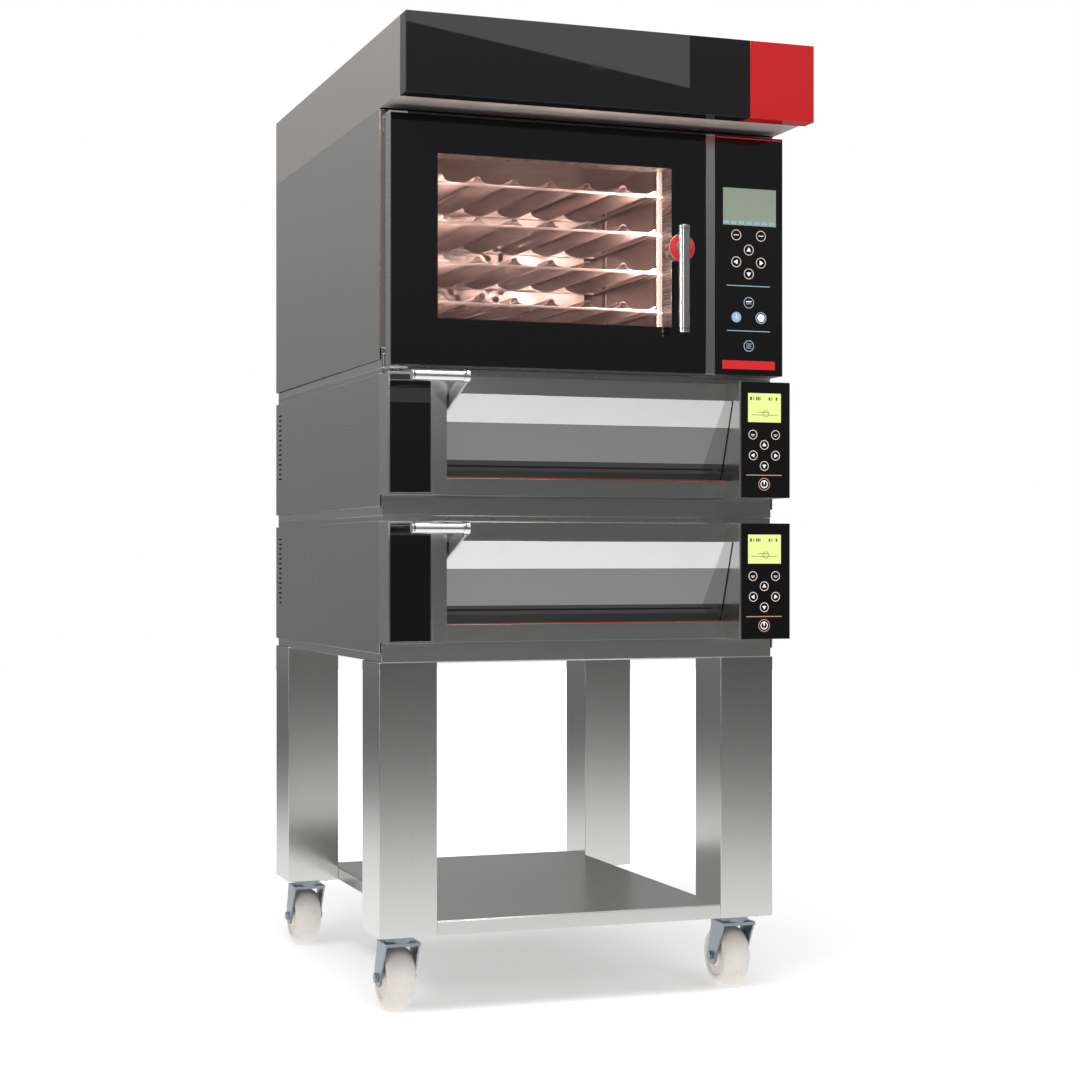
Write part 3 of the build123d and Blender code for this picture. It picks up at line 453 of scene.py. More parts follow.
def felted(name, colour):
    """Mineral wool: a mat of fine fibres."""
    finish = Finish(name, Specular_IOR_Level=0.1)
    fibres = finish.noise(1, finish.spot((900, 120, 500)), 4, 0.7)
    clumps = finish.noise(30, None, 3)
    finish.bump(fibres, 0.0012)
    return finish.done(Base_Color=finish.blend(fibres * 0.6 + clumps * 0.4, shifted(colour, 0.6),
                                               shifted(colour, 1.2)), Roughness=0.9 + clumps * 0.08)


def circuit(name, colour):
    """A printed circuit: green lacquer over copper tracks."""
    finish = Finish(name, Coat_Weight=0.3)
    track = finish.node("TexBrick", {}, {"Vector": finish.spot((90, 90, 90)), "Scale": 1,
                                                   "Mortar Size": 0.06}, "Fac")
    finish.bump(track, 0.0001)
    return finish.done(Base_Color=finish.blend(track, colour, (0.25, 0.42, 0.12)),
                       Roughness=0.3 + track * 0.15)


def pale_floor(name, colour):
    """A matt studio floor, white to the camera; in reflections it darkens away from the object."""
    finish = Finish(name, Emission_Strength=1.0, Specular_IOR_Level=0.0, Roughness=0.95)
    distance = finish.node("VectorMath", {"operation": "LENGTH"}, {0: finish.spot()}, "Value")
    far = finish.ramp(distance / FLOOR_RADIUS, (0.09, 1.0), (0.17, 0.80), (0.30, 0.25), (0.45, 0.08), (1.0, 0.05))
    seen = finish.node("LightPath", output="Is Camera Ray")
    near = finish.ramp(distance / FLOOR_RADIUS, (0.10, 0.16), (0.22, 1.0))
    return finish.done(Base_Color=finish.blend(seen, (0.12, 0.12, 0.12), colour),
                       Emission_Color=finish.blend(seen, far, near))


FINISHES = {}


def make_finishes(looks):
    """Every finish of the machine, by name."""
    steel = looks.steel_colour
    FINISHES.update(
        # the same steel darkened to 0.82 for the sides: painted shade, not a darker sheet
        side_steel=brushed_steel("side_steel", shifted(steel, 0.82), "y", looks.steel_roughness),
        front_steel=brushed_steel("front_steel", steel, "x", looks.steel_roughness - 0.04),
        upright_steel=brushed_steel("upright_steel", steel, "z", looks.steel_roughness - 0.09),
        shelf_steel=brushed_steel("shelf_steel", steel, "x", looks.steel_roughness - 0.02),
        hood_lining=moulded("hood_lining", (0.50, 0.44, 0.42), 0.38, 700, 0.00002),
        hood_steel=brushed_steel("hood_steel", looks.hood_colour, "y", looks.steel_roughness + 0.08),
        oven_lining=heated_metal("oven_lining", (0.62, 0.56, 0.53), (0.44, 0.36, 0.33)),
        runner_steel=heated_metal("runner_steel", (0.30, 0.25, 0.24), (0.20, 0.16, 0.15)),
        deck_lining=heated_metal("deck_lining", (0.30, 0.29, 0.28), (0.18, 0.15, 0.13)),
        mirror_steel=polished_steel("mirror_steel", looks.mirror_colour),
        chrome=polished_steel("chrome", (0.78, 0.78, 0.79), 0.09),
        zinc=zinc_plate("zinc", looks.zinc_colour),
        black_glass=painted_glass("black_glass", looks.glass_colour),
        badge_glass=painted_glass("badge_glass", looks.badge_colour, 0.03),
        window_glass=see_through_glass("window_glass", (0.02, 0.018, 0.018), 0.10),
        inner_window=see_through_glass("inner_window", (0.02, 0.018, 0.018), 0.05),
        tinted_glass=painted_glass("tinted_glass", looks.tint_colour, 0.02, 2.5),
        border_glass=painted_glass("border_glass", shifted(looks.tint_colour, 0.3), 0.02),
        red_rubber=moulded("red_rubber", (0.22, 0.012, 0.012), 0.5, 500, 0.0001),
        disc_enamel=enamel("disc_enamel", looks.disc_colour),
        wheel_nylon=nylon("wheel_nylon", looks.wheel_colour),
        black_plastic=moulded("black_plastic", (0.02, 0.02, 0.021), 0.5),
        seal_rubber=moulded("seal_rubber", (0.035, 0.03, 0.03), 0.62, 500, 0.00015),
        deck_screen=glowing("deck_screen", looks.deck_screen_colour, 0.9, 900),
        oven_screen=glowing("oven_screen", looks.oven_screen_colour, 0.75, 700),
        # the printed inks below glow by emission: painted light
        screen_ink=printed("screen_ink", (0.10, 0.13, 0.05), 0.15),
        key_ink=printed("key_ink", looks.key_colour, 0.75),
        white_ink=printed("white_ink", (0.82, 0.82, 0.84), 0.8),
        copper_ink=printed("copper_ink", (0.42, 0.24, 0.18), 0.5),
        blue_ink=printed("blue_ink", (0.20, 0.28, 0.36), 0.9),
        red_ink=printed("red_ink", looks.badge_colour, 0.5),
        stone=fired_stone("stone", (0.42, 0.38, 0.33)),
        tray_sheet=perforated_sheet("tray_sheet", (0.62, 0.50, 0.47), 0.006),
        tray_rim=heated_metal("tray_rim", (0.80, 0.72, 0.70), (0.62, 0.52, 0.49)),
        heater=heated_metal("heater", (0.12, 0.11, 0.11), (0.20, 0.13, 0.10), 0.8),
        casting=moulded("casting", (0.34, 0.35, 0.36), 0.55, 300, 0.0003),
        wool=felted("wool", (0.55, 0.50, 0.36)),
        board=circuit("board", (0.02, 0.14, 0.06)),
    )


class OvenLooks(bpy.types.PropertyGroup):
    """Sizes and colours of the finishes and fine pieces."""

    edge: FloatProperty(
        name="Sheet edge", description="Rounding of a folded sheet's edges", default=0.7 * MM, unit="LENGTH")
    fold: FloatProperty(
        name="Fold radius", description="Rounding of a leg's or a rail's folds", default=1.8 * MM, unit="LENGTH")
    glass_edge: FloatProperty(
        name="Glass edge", description="Grinding of a glass panel's edges", default=0.8 * MM, unit="LENGTH")
    glass_border: FloatProperty(
        name="Glass border", description="Share of a deck door's glass that its dark lower border takes",
        default=0.33, subtype="FACTOR")
    grip_diameter: FloatProperty(
        name="Grip", description="Diameter of a deck door's tubular grip", default=23.5 * MM, unit="LENGTH")
    disc_diameter: FloatProperty(
        name="Handle disc", description="Diameter of the coloured disc on the oven's handle",
        default=58 * MM, unit="LENGTH")
    hub_depth: FloatProperty(
        name="Hub depth", description="From the door's glass to the hub's face", default=25.3 * MM,
        unit="LENGTH")
    bar_shift: FloatProperty(
        name="Bar shift", description="From the hub's axis to the bar's", default=-6 * MM, unit="LENGTH")
    bar_diameter: FloatProperty(
        name="Bar", description="Diameter of the oven handle's bar", default=24 * MM, unit="LENGTH")
    front: FloatProperty(
        name="Front plane", description="Front of the modules' bodies", unit="LENGTH",
        default=round(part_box("upper_deck_casing")[0].y, 5))
    wall: FloatProperty(
        name="Lining", description="Thickness of a chamber's lining", default=2 * MM, unit="LENGTH")
    print_rise: FloatProperty(
        name="Print thickness", description="How far printed marks stand proud", default=0.3 * MM,
        unit="LENGTH")
    steel_roughness: FloatProperty(
        name="Steel roughness", description="Roughness of the brushed sheet", default=0.27, subtype="FACTOR")
    steel_colour: FloatVectorProperty(
        name="Steel", description="Colour of the brushed sheet", default=(0.62, 0.62, 0.61), subtype="COLOR")
    hood_colour: FloatVectorProperty(
        name="Hood steel", description="Colour of the hood's sheet", default=(0.70, 0.65, 0.62),
        subtype="COLOR")
    mirror_colour: FloatVectorProperty(
        name="Mirror steel", description="Colour of the deck doors' band", default=(0.70, 0.70, 0.70),
        subtype="COLOR")
    zinc_colour: FloatVectorProperty(
        name="Zinc", description="Colour of the castor forks", default=(0.33, 0.36, 0.40), subtype="COLOR")
    glass_colour: FloatVectorProperty(
        name="Black glass", description="Colour behind the front glass", default=(0.006, 0.006, 0.0065),
        subtype="COLOR")
    tint_colour: FloatVectorProperty(
        name="Deck window", description="Colour of the deck doors' glass", default=(0.05, 0.05, 0.05),
        subtype="COLOR")
    badge_colour: FloatVectorProperty(
        name="Badge", description="Colour of the plain badge", default=(0.50, 0.012, 0.016), subtype="COLOR")
    disc_colour: FloatVectorProperty(
        name="Handle disc", description="Colour of the disc on the oven's handle", default=(0.75, 0.02, 0.025),
        subtype="COLOR")
    wheel_colour: FloatVectorProperty(
        name="Wheels", description="Colour of the castor wheels", default=(0.80, 0.74, 0.69), subtype="COLOR")
    deck_screen_colour: FloatVectorProperty(
        name="Deck display", description="Colour of the deck ovens' displays", default=(0.72, 0.80, 0.28),
        subtype="COLOR")
    oven_screen_colour: FloatVectorProperty(
        name="Oven display", description="Colour of the convection oven's display",
        default=(0.28, 0.33, 0.26), subtype="COLOR")
    key_colour: FloatVectorProperty(
        name="Key rings", description="Colour of the printed key rings", default=(0.62, 0.52, 0.48),
        subtype="COLOR")
    light_power: FloatProperty(
        name="Light", description="Power of the main soft light in watts", default=160, min=0)
    lamp_power: FloatProperty(
        name="Oven lamp", description="Power of each lamp in the convection oven in watts", default=9, min=0)


# ---- pieces

class OVEN_OT_stand(bpy.types.Operator):
    """Shows the stand's legs, shelf and top frame with folded edges, and the castors' plates"""

    bl_idname = "oven.stand"
    bl_label = "Stand"

    def execute(self, context):
        looks = context.scene.oven_looks
        eased("stand_legs", FINISHES["upright_steel"], edge=looks.fold)
        eased("stand_shelf", FINISHES["shelf_steel"], edge=looks.fold)
        eased("stand_top_frame", FINISHES["front_steel"], edge=looks.fold)
        eased("castor_plates", FINISHES["zinc"], looks.edge)
        return {"FINISHED"}


def hexagon(shell, centre, axis, radius, height):
    """Adds a hexagon head or nut that stands on a surface."""
    made = bmesh.ops.create_circle(shell, cap_ends=True, segments=6, radius=radius,
                                   matrix=standing(centre, axis))
    grow(shell, made["verts"][0].link_faces[0], Vector(axis).normalized() * height)


class OVEN_OT_castors(bpy.types.Operator):
    """Shows the castors: nylon wheels with bearing caps, plated forks and plate bolts"""

    bl_idname = "oven.castors"
    bl_label = "Castors"

    def execute(self, context):
        looks = context.scene.oven_looks
        hub_half, trail, plate_thickness = 34 * MM, 37.5 * MM, 4 * MM
        plate_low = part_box("castor_plates")[1].z - plate_thickness
        for corner in CORNERS:
            fork, wheel = f"castor_{corner}_fork", f"castor_{corner}_wheel"
            eased(fork, FINISHES["zinc"], looks.edge)
            eased(wheel, FINISHES["wheel_nylon"], 1.5 * MM, 3)
            low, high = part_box(wheel)
            middle = (low + high) / 2
            caps = bmesh.new()
            for side in (-1, 1):
                turned(caps, (middle.x + side * hub_half, middle.y, middle.z), (side, 0, 0),
                       in_mm((13, 0), (13, 1.2), (17, 1.4), (19.5, 0.4), (19.5, 0)), True, 32)
            piece(caps, f"castor_{corner}_bearing_caps", BODY_OF[wheel], FINISHES["zinc"])
            bolts = bmesh.new()
            pin_y = middle.y - trail
            for step_x in (-42, 42):
                for step_y in (-33, 33):
                    hexagon(bolts, (middle.x + step_x * MM, pin_y + step_y * MM, plate_low), (0, 0, -1),
                            5 * MM, 2.5 * MM)
            piece(bolts, f"castor_{corner}_plate_bolts", "stack", FINISHES["zinc"],
                  0.5 * MM)
        return {"FINISHED"}


class OVEN_OT_casings(bpy.types.Operator):
    """Shows the modules' casings, plinths, control boxes and front frames in brushed sheet"""

    bl_idname = "oven.casings"
    bl_label = "Casings"

    def execute(self, context):
        looks = context.scene.oven_looks
        # side is the steel darkened to 0.82: painted shade on the casings and control boxes
        side, front = FINISHES["side_steel"], FINISHES["front_steel"]
        for deck in DECKS:
            for part, finish in (("base", front), ("casing", side), ("control_box", side),
                                 ("front_frame", front), ("chamber", FINISHES["deck_lining"])):
                eased(f"{deck}_deck_{part}", finish, edge=looks.edge)
        for part, finish in (("base", front), ("casing", side), ("control_box", side),
                             ("front_post", FINISHES["upright_steel"])):
            eased(f"convection_{part}", finish, edge=looks.edge)
        return {"FINISHED"}


class OVEN_OT_back(bpy.types.Operator):
    """Shows the rear panels with their screws, and the cable glands"""

    bl_idname = "oven.back"
    bl_label = "Back"

    def execute(self, context):
        looks = context.scene.oven_looks
        eased("rear_panels", FINISHES["side_steel"], edge=looks.edge)
        low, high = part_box("rear_panels")
        screws = bmesh.new()
        spans = [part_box(f"{deck}_deck_casing") for deck in DECKS] + [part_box("convection_casing")]
        head = in_mm((0, 2.2), (2, 2.1), (4.4, 1.2), (5, 0), (0, 0))
        for span_low, span_high in spans:
            for x in (low.x + 14 * MM, -0.15, 0.15, high.x - 14 * MM):
                for z in (span_low.z + 20 * MM, min(span_high.z, high.z) - 30 * MM):
                    turned(screws, (x, high.y, z), (0, 1, 0), head, steps=20)
        piece(screws, "rear_panel_screws", "stack", FINISHES["zinc"])
        eased("cable_glands", FINISHES["black_plastic"], 1.0 * MM)
        return {"FINISHED"}


class OVEN_OT_deck_doors(bpy.types.Operator):
    """Shows the deck ovens' tilting doors: mirror band, tinted glass and tubular grip"""

    bl_idname = "oven.deck_doors"
    bl_label = "Deck doors"

    def execute(self, context):
        looks = context.scene.oven_looks
        for deck in DECKS:
            body = f"{deck}_deck_door"
            eased(f"{body}_leaf", FINISHES["mirror_steel"], looks.edge)
            low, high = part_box(f"{body}_glass")
            border = low.z + (high.z - low.z) * looks.glass_border
            shell = merged(f"{body}_glass")
            cut(shell, (0, 0, border), (0, 0, 1))
            soften(shell, looks.edge)
            pane = finished(shell, f"{body}_glass_eased", body,
                            [FINISHES["tinted_glass"], FINISHES["border_glass"]])
            for face in pane.data.polygons:
                face.material_index = int(face.center.z < border)
            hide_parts(f"{body}_glass")
            eased(f"{body}_handle", FINISHES["chrome"], edge=looks.edge)
            grip_low, grip_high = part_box(f"{body}_handle")
            radius = looks.grip_diameter / 2
            middle = Vector((0, grip_low.y + radius, grip_high.z - radius))
            rings = bmesh.new()
            for place in (0.03, 0.9, 0.93):
                x = grip_low.x + (grip_high.x - grip_low.x) * place
                turned(rings, (x, middle.y, middle.z), (1, 0, 0),
                       [(radius - 0.5 * MM, -0.9 * MM), (radius + 0.15 * MM, -0.9 * MM),
                        (radius + 0.15 * MM, 0.9 * MM), (radius - 0.5 * MM, 0.9 * MM)], True)
            piece(rings, f"{body}_grip_rings", body, FINISHES["black_plastic"])
            button = bmesh.new()
            mouth_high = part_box(f"{deck}_deck_chamber")[1].x
            button_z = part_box(f"{deck}_deck_base")[0].z + 93 * MM
            turned(button, (mouth_high - looks.wall, looks.front + 36 * MM, button_z), (-1, 0, 0),
                   in_mm((0, -0.5), (8, -0.5), (8, 0.3), (6, 0.8), (0, 0.9)), steps=28)
            piece(button, f"{deck}_deck_stop_button", "stack", FINISHES["black_plastic"])
            bead = bmesh.new()
            slab(bead, (low.x + 4 * MM, low.y - 1 * MM, low.z - 0.6 * MM),
                 (high.x - 4 * MM, low.y + 3 * MM, low.z + 1.8 * MM))
            piece(bead, f"{body}_seal_bead", body, FINISHES["red_rubber"], 0.5 * MM)
        return {"FINISHED"}


class OVEN_OT_deck_insides(bpy.types.Operator):
    """Shows the baking stones and heating elements of the deck ovens"""

    bl_idname = "oven.deck_insides"
    bl_label = "Deck insides"

    def execute(self, context):
        eased("baking_stones", FINISHES["stone"], 2 * MM, 3)
        paint("deck_heaters", FINISHES["heater"])
        paint("insulation", FINISHES["wool"])
        paint("control_boards", FINISHES["board"])
        return {"FINISHED"}


class OVEN_OT_convection_insides(bpy.types.Operator):
    """Shows the convection oven's chamber, trays, runners, baffle, fan and heater"""

    bl_idname = "oven.convection_insides"
    bl_label = "Convection oven insides"

    def execute(self, context):
        looks = context.scene.oven_looks
        lining = FINISHES["oven_lining"]
        eased("convection_chamber", lining, edge=looks.edge)
        eased("convection_tray_rails", FINISHES["runner_steel"], edge=looks.edge)
        paint("convection_baffle", lining)
        paint("convection_impeller", FINISHES["tray_rim"])
        paint("convection_heater", FINISHES["heater"])
        paint("convection_motor", FINISHES["casting"])
        eased("convection_gasket", FINISHES["seal_rubber"], 1.5 * MM)
        shell = merged("convection_trays")
        soften(shell, 0.2 * MM, 1)
        low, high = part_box("convection_trays")
        made = finished(shell, "convection_trays_eased", "stack", [FINISHES["tray_sheet"], FINISHES["tray_rim"]])
        border = 9 * MM
        for face in made.data.polygons:
            middle = face.center
            inside = (low.x + border < middle.x < high.x - border and low.y + border < middle.y < high.y - border)
            face.material_index = 0 if inside else 1
        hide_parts("convection_trays")
        return {"FINISHED"}


class OVEN_OT_convection_door(bpy.types.Operator):
    """Shows the convection oven's door: black-bordered window, frame, hinges and turning handle"""

    bl_idname = "oven.convection_door"
    bl_label = "Convection oven door"

    def execute(self, context):
        looks = context.scene.oven_looks
        eased("convection_door_frame", FINISHES["side_steel"], edge=looks.edge)
        eased("convection_hinges", FINISHES["chrome"], looks.edge)
        pane_low, pane_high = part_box("convection_inner_glass")
        shell = merged("convection_outer_glass")
        across, up = (1, 0, 0), (0, 0, 1)
        for place, normal in ((pane_low, across), (pane_high, across), (pane_low, up), (pane_high, up)):
            cut(shell, place, normal)
        soften(shell, looks.glass_edge)
        made = finished(shell, "convection_outer_glass_eased", "oven_door",
                        [FINISHES["black_glass"], FINISHES["window_glass"]])
        for face in made.data.polygons:
            middle = face.center
            if pane_low.x < middle.x < pane_high.x and pane_low.z < middle.z < pane_high.z:
                face.material_index = 1
        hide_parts("convection_outer_glass")
        eased("convection_inner_glass", FINISHES["inner_window"], looks.edge)
        eased("convection_door_handle", FINISHES["chrome"], 1.2 * MM, 3)

        lever = next(joint for joint in frame["joints"] if joint["name"] == "oven_door_lever_turn")
        hub_x, _, hub_z = lever["pos_m"]
        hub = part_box("convection_door_handle")
        face_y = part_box("convection_outer_glass")[0].y - looks.hub_depth
        disc = bmesh.new()
        radius = looks.disc_diameter / 2
        turned(disc, (hub_x, face_y, hub_z), (0, -1, 0),
               [(0, -0.4 * MM), (radius, -0.4 * MM), (radius, 1.0 * MM), (radius - 1.5 * MM, 1.8 * MM),
                (0, 2.0 * MM)], steps=64)
        piece(disc, "convection_handle_disc", "oven_door_lever", FINISHES["disc_enamel"])
        ends = bmesh.new()
        bar_x = hub_x + looks.bar_shift
        bar_radius = looks.bar_diameter / 2
        groove = [(bar_radius - 0.4 * MM, -0.5 * MM), (bar_radius + 0.12 * MM, -0.5 * MM),
                  (bar_radius + 0.12 * MM, 0.5 * MM), (bar_radius - 0.4 * MM, 0.5 * MM)]
        for z, way in ((hub[0].z, -1), (hub[1].z, 1)):
            for place in (0.006, 0.009):
                turned(ends, (bar_x, hub[0].y + bar_radius, z - way * place), (0, 0, 1), groove, True)
        piece(ends, "convection_handle_grooves", "oven_door_lever", FINISHES["black_plastic"])
        bolts = bmesh.new()
        low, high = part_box("convection_hinges")
        for z, way in ((low.z, -1), (high.z, 1)):
            for x in (low.x + 9 * MM, high.x - 9 * MM):
                hexagon(bolts, (x, low.y + 22 * MM, z), (0, 0, way), 4 * MM, 2.6 * MM)
        piece(bolts, "convection_hinge_bolts", "stack", FINISHES["zinc"], 0.3 * MM)
        return {"FINISHED"}


class PanelPrint:
    """Printed marks on an upright panel, placed in millimetres from its lower left corner."""

    def __init__(self, corner, rise):
        self.corner = corner
        self.rise = rise
        self.shells = {}

    def at(self, right, up):
        return self.corner + Vector((right * MM, 0, up * MM))

    def shell(self, ink):
        return self.shells.setdefault(ink, bmesh.new())

    def bar(self, ink, right, up, length, height):
        """A flat bar, from its middle."""
        low = self.at(right - length / 2, up - height / 2)
        high = self.at(right + length / 2, up + height / 2)
        slab(self.shell(ink), low - Vector((0, self.rise, 0)), high)

    def ring(self, ink, right, up, radius, width=1.3):
        """A key's outline."""
        inner, outer = (radius - width) * MM, radius * MM
        turned(self.shell(ink), self.at(right, up), (0, -1, 0),
               [(inner, 0), (outer, 0), (outer, self.rise), (inner, self.rise)], True, 36)

    def dot(self, ink, right, up, radius):
        turned(self.shell(ink), self.at(right, up), (0, -1, 0),
               [(0, 0), (radius * MM, 0), (radius * MM, self.rise), (0, self.rise)], steps=28)

    def arrow(self, ink, right, up, turn, size=5.2):
        """A solid triangle; turn is in degrees from pointing up."""
        points = []
        for corner in (90, 210, 330):
            angle = math.radians(corner + turn)
            points.append(self.at(right + size * math.cos(angle), up + size * math.sin(angle)))
        stamp(self.shell(ink), points, Vector((0, -self.rise, 0)))

    def finish(self, name):
        for ink, shell in self.shells.items():
            piece(shell, f"{name}_{ink}", "stack", FINISHES[ink])


def deck_panel_print(prints):
    """Two keys, four arrows, a line and the power key of a deck oven, and what its display shows."""
    for right in (28.6, 83.7):
        prints.ring("key_ink", right, 182.4, 10.5)
        prints.bar("key_ink", right, 182.4, 9, 1.6)
        prints.bar("key_ink", right, 179.4, 6, 1.2)
    for right, up, turn in ((56.3, 160, 0), (29.5, 136.6, 90), (83.7, 136.6, -90), (56.3, 113.5, 180)):
        prints.ring("key_ink", right, up, 10.5)
        prints.arrow("white_ink", right, up, turn)
    prints.bar("copper_ink", 55.6, 93, 85.6, 1.8)
    prints.ring("copper_ink", 56, 73, 14, 1.6)
    prints.ring("white_ink", 56, 73, 8.5, 1.4)
    prints.bar("white_ink", 56, 77, 2.2, 9)
    prints.bar("copper_ink", 56, 68, 9, 1.6)
    for right, width in ((24, 5), (31, 2), (38, 3), (42, 3), (46, 2), (69, 4), (75, 2), (86, 4)):
        prints.bar("screen_ink", right, 262, width, 7)
    prints.bar("screen_ink", 54, 232, 26, 1.2)
    prints.bar("screen_ink", 56, 226, 62, 1.0)
    prints.ring("screen_ink", 60, 229, 7.5, 0.9)


def oven_panel_print(prints):
    """The convection oven's keys, lines, display segments, top line and plain strip."""
    for right in (49.7, 109.9):
        prints.ring("key_ink", right, 313.2, 11.8)
        prints.bar("key_ink", right, 313.2, 12, 2)
    for right, up, turn in ((80.3, 281, 0), (49.7, 253.5, 90), (109.9, 253.5, -90), (80.3, 228, 180)):
        prints.ring("key_ink", right, up, 11.8)
        prints.arrow("white_ink", right, up, turn, 6)
    prints.bar("blue_ink", 79.5, 201, 105, 1.7)
    prints.ring("blue_ink", 80.3, 164, 12.5, 1.6)
    prints.bar("white_ink", 80.3, 166.5, 13, 2)
    prints.bar("blue_ink", 80.3, 161.5, 13, 1.5)
    prints.dot("blue_ink", 50, 131, 11.5)
    prints.bar("white_ink", 50, 131, 2.2, 11)
    prints.bar("white_ink", 50, 131, 8, 1.8)
    prints.ring("blue_ink", 110, 131, 13, 1.8)
    prints.dot("white_ink", 110, 131, 8.5)
    prints.bar("blue_ink", 79.5, 101, 105, 1.7)
    prints.ring("blue_ink", 80.3, 68, 12.5, 1.6)
    for up in (72.5, 68, 63.5):
        prints.bar("blue_ink", 80.3, up, 12, 1.6)
    prints.bar("red_ink", 80, 25.5, 128, 19)
    prints.bar("red_ink", 81.5, 527.5, 158, 2.2)
    for count in range(7):
        prints.bar("blue_ink", 25 + count * 18.6, 340.8, 13.5, 7)


class OVEN_OT_panels(bpy.types.Operator):
    """Shows the black glass panels, the displays and the printed touch keys"""

    bl_idname = "oven.panels"
    bl_label = "Control panels"

    def execute(self, context):
        looks = context.scene.oven_looks
        for deck in DECKS:
            eased(f"{deck}_deck_glass_panels", FINISHES["black_glass"], looks.glass_edge)
        eased("convection_control_glass", FINISHES["black_glass"], looks.glass_edge)
        made = eased("displays", [FINISHES["deck_screen"], FINISHES["oven_screen"]], 0.2 * MM, 1)
        oven_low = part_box("convection_control_glass")[0]
        for face in made.data.polygons:
            face.material_index = int(face.center.z > oven_low.z)
        for deck in DECKS:
            low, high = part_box(f"{deck}_deck_glass_panels")
            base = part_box(f"{deck}_deck_base")[0].z
            prints = PanelPrint(Vector((high.x - 119 * MM, low.y, base)), looks.print_rise)
            deck_panel_print(prints)
            prints.finish(f"{deck}_deck_panel")
        low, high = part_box("convection_control_glass")
        prints = PanelPrint(Vector((low.x, low.y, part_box("convection_base")[0].z)), looks.print_rise)
        oven_panel_print(prints)
        prints.finish("convection_panel")
        return {"FINISHED"}


class OVEN_OT_hood(bpy.types.Operator):
    """Shows the hood: its shell, glass fascia, plain badge, filter and exhaust collar"""

    bl_idname = "oven.hood"
    bl_label = "Hood"

    def execute(self, context):
        looks = context.scene.oven_looks
        shell = eased("hood_shell", [FINISHES["hood_steel"], FINISHES["hood_lining"]], edge=looks.edge)
        low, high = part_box("hood_shell")
        for face in shell.data.polygons:
            inside = low.x + 3 * MM < face.center.x < high.x - 3 * MM
            face.material_index = int(inside and face.center.z < low.z + 3 * MM)
        eased("hood_fascia", FINISHES["black_glass"], looks.glass_edge)
        eased("hood_badge", FINISHES["badge_glass"], looks.glass_edge)
        eased("hood_filter", FINISHES["front_steel"], edge=0.5 * MM)
        eased("exhaust_collar", FINISHES["zinc"], edge=0.5 * MM)
        collar_low, collar_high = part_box("exhaust_collar")
        middle = (collar_low + collar_high) / 2
        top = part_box("hood_shell")[1].z
        rivets = bmesh.new()
        for count in range(8):
            angle = math.tau * (count + 0.5) / 8
            turned(rivets, (middle.x + 86 * MM * math.cos(angle), middle.y + 86 * MM * math.sin(angle), top),
                   (0, 0, 1), in_mm((0, -0.5), (3.2, -0.5), (3.2, 0.4), (1.8, 1.5), (0, 1.8)), steps=16)
        bead = in_mm((75.1, 44), (76.2, 45), (76.2, 47), (75.1, 48))
        turned(rivets, (middle.x, middle.y, top), (0, 0, 1), bead, True, 64)
        piece(rivets, "exhaust_collar_rivets", "stack", FINISHES["zinc"])
        return {"FINISHED"}


# ---- stage

def area_light(name, place, aim, size, power, colour=(1, 1, 1)):
    """A soft rectangular light that points at a place."""
    light = bpy.data.lights.new(name, "AREA")
    light.shape = "RECTANGLE"
    light.size, light.size_y = size
    light.energy = power
    light.color = colour
    made = bpy.data.objects.new(name, light)
    made.location = place
    made.rotation_euler = (Vector(aim) - Vector(place)).to_track_quat("-Z", "Y").to_euler()
    bpy.context.scene.collection.objects.link(made)
    return made


def reflector(name, corners, brightness):
    """A lit card beyond the camera's view that only shows as a reflection in the glass."""
    shell = bmesh.new()
    shell.faces.new([shell.verts.new(corner) for corner in corners])
    card = placed(shell, name, glowing(name, (1, 1, 1), brightness, 1))
    card.visible_camera = False
    card.visible_diffuse = False
    card.visible_shadow = False
    card.visible_transmission = False


def studio_world():
    """White behind the object; a dark horizon under a bright ceiling for what the steel reflects."""
    world = bpy.data.worlds.new("studio")
    world.use_nodes = True
    nodes, links = world.node_tree.nodes, world.node_tree.links
    background = nodes["Background"]

    def new(kind):
        return nodes.new("ShaderNode" + kind)

    place = new("TexCoord")
    split = new("SeparateXYZ")
    links.new(place.outputs["Generated"], split.inputs[0])
    sky = new("ValToRGB")
    stops = ((0.0, 0.07), (0.05, 0.09), (0.20, 0.24), (0.45, 0.65), (1.0, 1.0))
    while len(sky.color_ramp.elements) < len(stops):
        sky.color_ramp.elements.new(0.5)
    for element, (position, tone) in zip(sky.color_ramp.elements, stops):
        element.position = position
        element.color = (tone, tone, tone, 1)
    links.new(split.outputs["Z"], sky.inputs[0])
    glow = new("VectorMath")
    glow.operation = "DOT_PRODUCT"
    links.new(place.outputs["Generated"], glow.inputs[0])
    glow.inputs[1].default_value = Vector((-0.45, 0.9, 0.0)).normalized()
    falloff = new("ValToRGB")
    falloff.color_ramp.interpolation = "EASE"
    falloff.color_ramp.elements[0].position = 0.55
    falloff.color_ramp.elements[1].color = (0.16, 0.16, 0.16, 1)
    links.new(glow.outputs["Value"], falloff.inputs[0])
    lit = new("VectorMath")
    links.new(sky.outputs[0], lit.inputs[0])
    links.new(falloff.outputs[0], lit.inputs[1])
    path = new("LightPath")
    choice = new("Mix")
    choice.data_type = "RGBA"
    sockets = {socket.name: socket for socket in choice.inputs if socket.enabled}
    links.new(path.outputs["Is Camera Ray"], sockets["Factor"])
    links.new(lit.outputs[0], sockets["A"])
    sockets["B"].default_value = (1, 1, 1, 1)
    links.new(next(socket for socket in choice.outputs if socket.enabled), background.inputs[0])
    bpy.context.scene.world = world


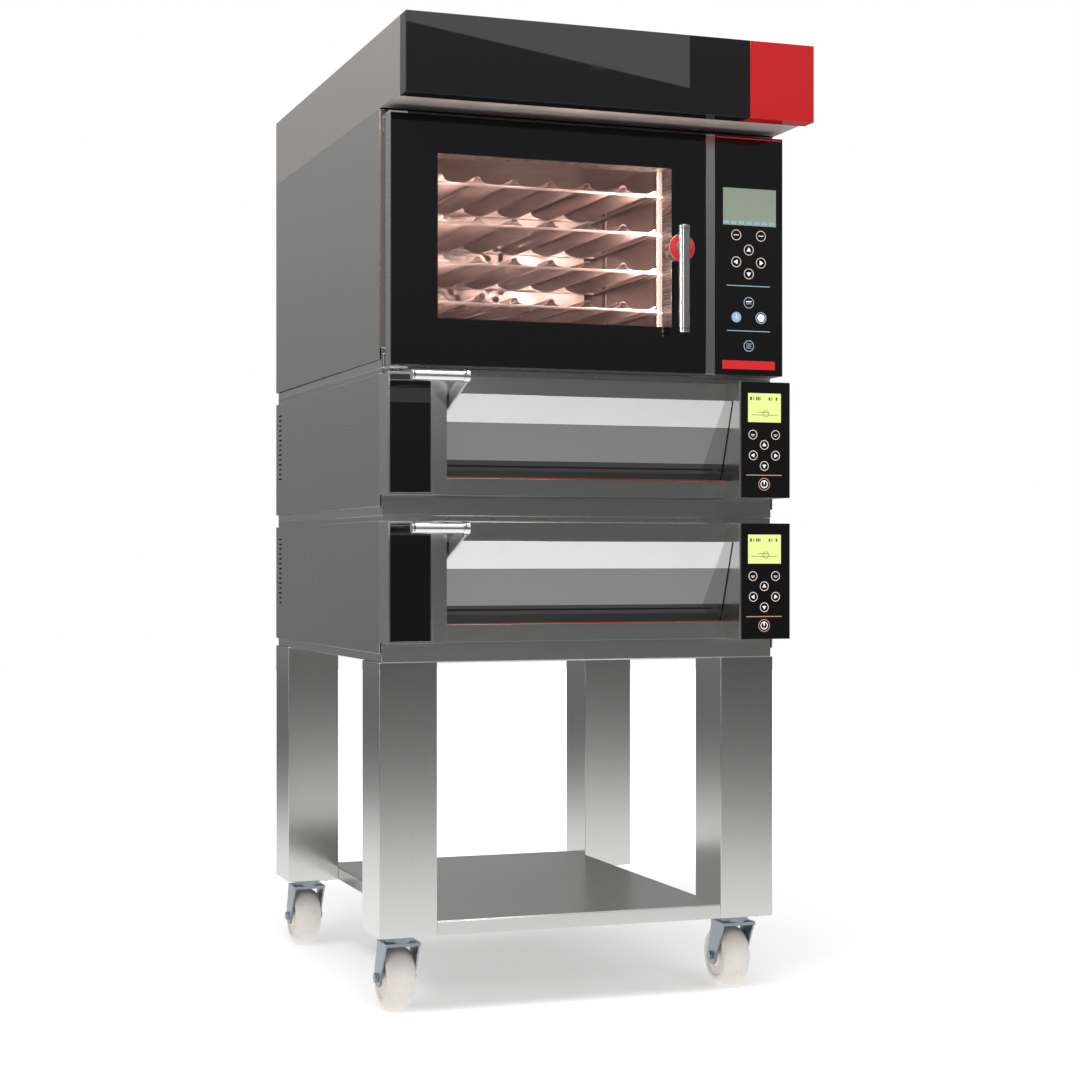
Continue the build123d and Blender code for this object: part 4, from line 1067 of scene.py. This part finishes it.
class OVEN_OT_stage(bpy.types.Operator):
    """Makes the camera, the floor, the studio lights and the lamps in the convection oven"""

    bl_idname = "oven.stage"
    bl_label = "Stage"

    def execute(self, context):
        looks = context.scene.oven_looks
        camera = bpy.data.cameras.new("camera")
        camera.lens = 70.9
        camera.sensor_width = 36
        camera.shift_y = 0.0185
        camera.clip_end = 60
        eye = bpy.data.objects.new("camera", camera)
        eye.location = (-1.654, -4.76975, 0.976)
        eye.rotation_euler = (math.radians(90), 0, math.radians(-19.65))
        context.scene.collection.objects.link(eye)
        context.scene.camera = eye

        shell = bmesh.new()
        bmesh.ops.create_circle(shell, cap_ends=True, segments=96, radius=FLOOR_RADIUS)
        placed(shell, "floor", pale_floor("pale_floor", (0.9, 0.9, 0.9)))

        studio_world()
        area_light("ceiling_light", (-0.8, -1.6, 4.6), (0, 0, 1), (3.4, 2.6), looks.light_power)
        fill = area_light("front_light", (1.6, -5.4, 3.1), (0, 0, 1.4), (1.6, 1.2), looks.light_power * 0.25)
        fill.visible_glossy = False
        strip = area_light("strip_light", (-3.6, -4.2, 1.9), (0, -0.5, 1.4), (0.5, 2.6), looks.light_power * 0.12)
        strip.visible_camera = False
        reflector("hood_reflector", [(0.20, -3, 2.70), (0.20, -3, 3.1), (1.21, -3, 3.1), (1.21, -3, 2.555)], 1.3)
        reflector("door_reflector", [(-0.1, -3, 1.72), (0.60, -3, 1.53), (0.60, -3, 1.50), (-0.1, -3, 1.50)], 0.5)
        low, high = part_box("convection_trays")
        middle_z = (low.z + high.z) / 2
        middle_x = (low.x + high.x) / 2
        for side, x in (("left", low.x - 2 * MM), ("right", high.x + 2 * MM)):
            area_light(f"oven_lamp_{side}", (x, low.y - 18 * MM, middle_z), (middle_x, low.y + 0.22, middle_z),
                       (0.012, 0.36), looks.lamp_power, LAMP_COLOUR)
        area_light("oven_lamp_top", (middle_x, low.y - 12 * MM, high.z + 62 * MM),
                   (middle_x, low.y + 0.2, low.z), (0.5, 0.012), looks.lamp_power, LAMP_COLOUR)
        context.scene.view_settings.view_transform = "Standard"
        return {"FINISHED"}


class OVEN_PT_panel(bpy.types.Panel):
    """Lists the oven's pieces"""

    bl_label = "Bakery oven"
    bl_space_type = "VIEW_3D"
    bl_region_type = "UI"
    bl_category = "Bakery oven"

    def draw(self, context):
        looks = context.scene.oven_looks
        for name in looks.bl_rna.properties.keys():
            if name not in ("rna_type", "name"):
                self.layout.prop(looks, name)
        for operator in OPERATORS:
            self.layout.operator(operator.bl_idname)


OPERATORS = (OVEN_OT_stage, OVEN_OT_stand, OVEN_OT_castors, OVEN_OT_casings, OVEN_OT_back, OVEN_OT_deck_doors,
             OVEN_OT_deck_insides, OVEN_OT_convection_insides, OVEN_OT_convection_door, OVEN_OT_panels,
             OVEN_OT_hood)
CLASSES = (OvenLooks, *OPERATORS, OVEN_PT_panel)


def register():
    for item in CLASSES:
        bpy.utils.register_class(item)
    bpy.types.Scene.oven_looks = PointerProperty(type=OvenLooks)


def unregister():
    del bpy.types.Scene.oven_looks
    for item in reversed(CLASSES):
        bpy.utils.unregister_class(item)


def main():
    register()
    make_finishes(bpy.context.scene.oven_looks)
    for operator in OPERATORS:
        group, name = operator.bl_idname.split(".")
        getattr(getattr(bpy.ops, group), name)()


if __name__ == "__main__":
    main()
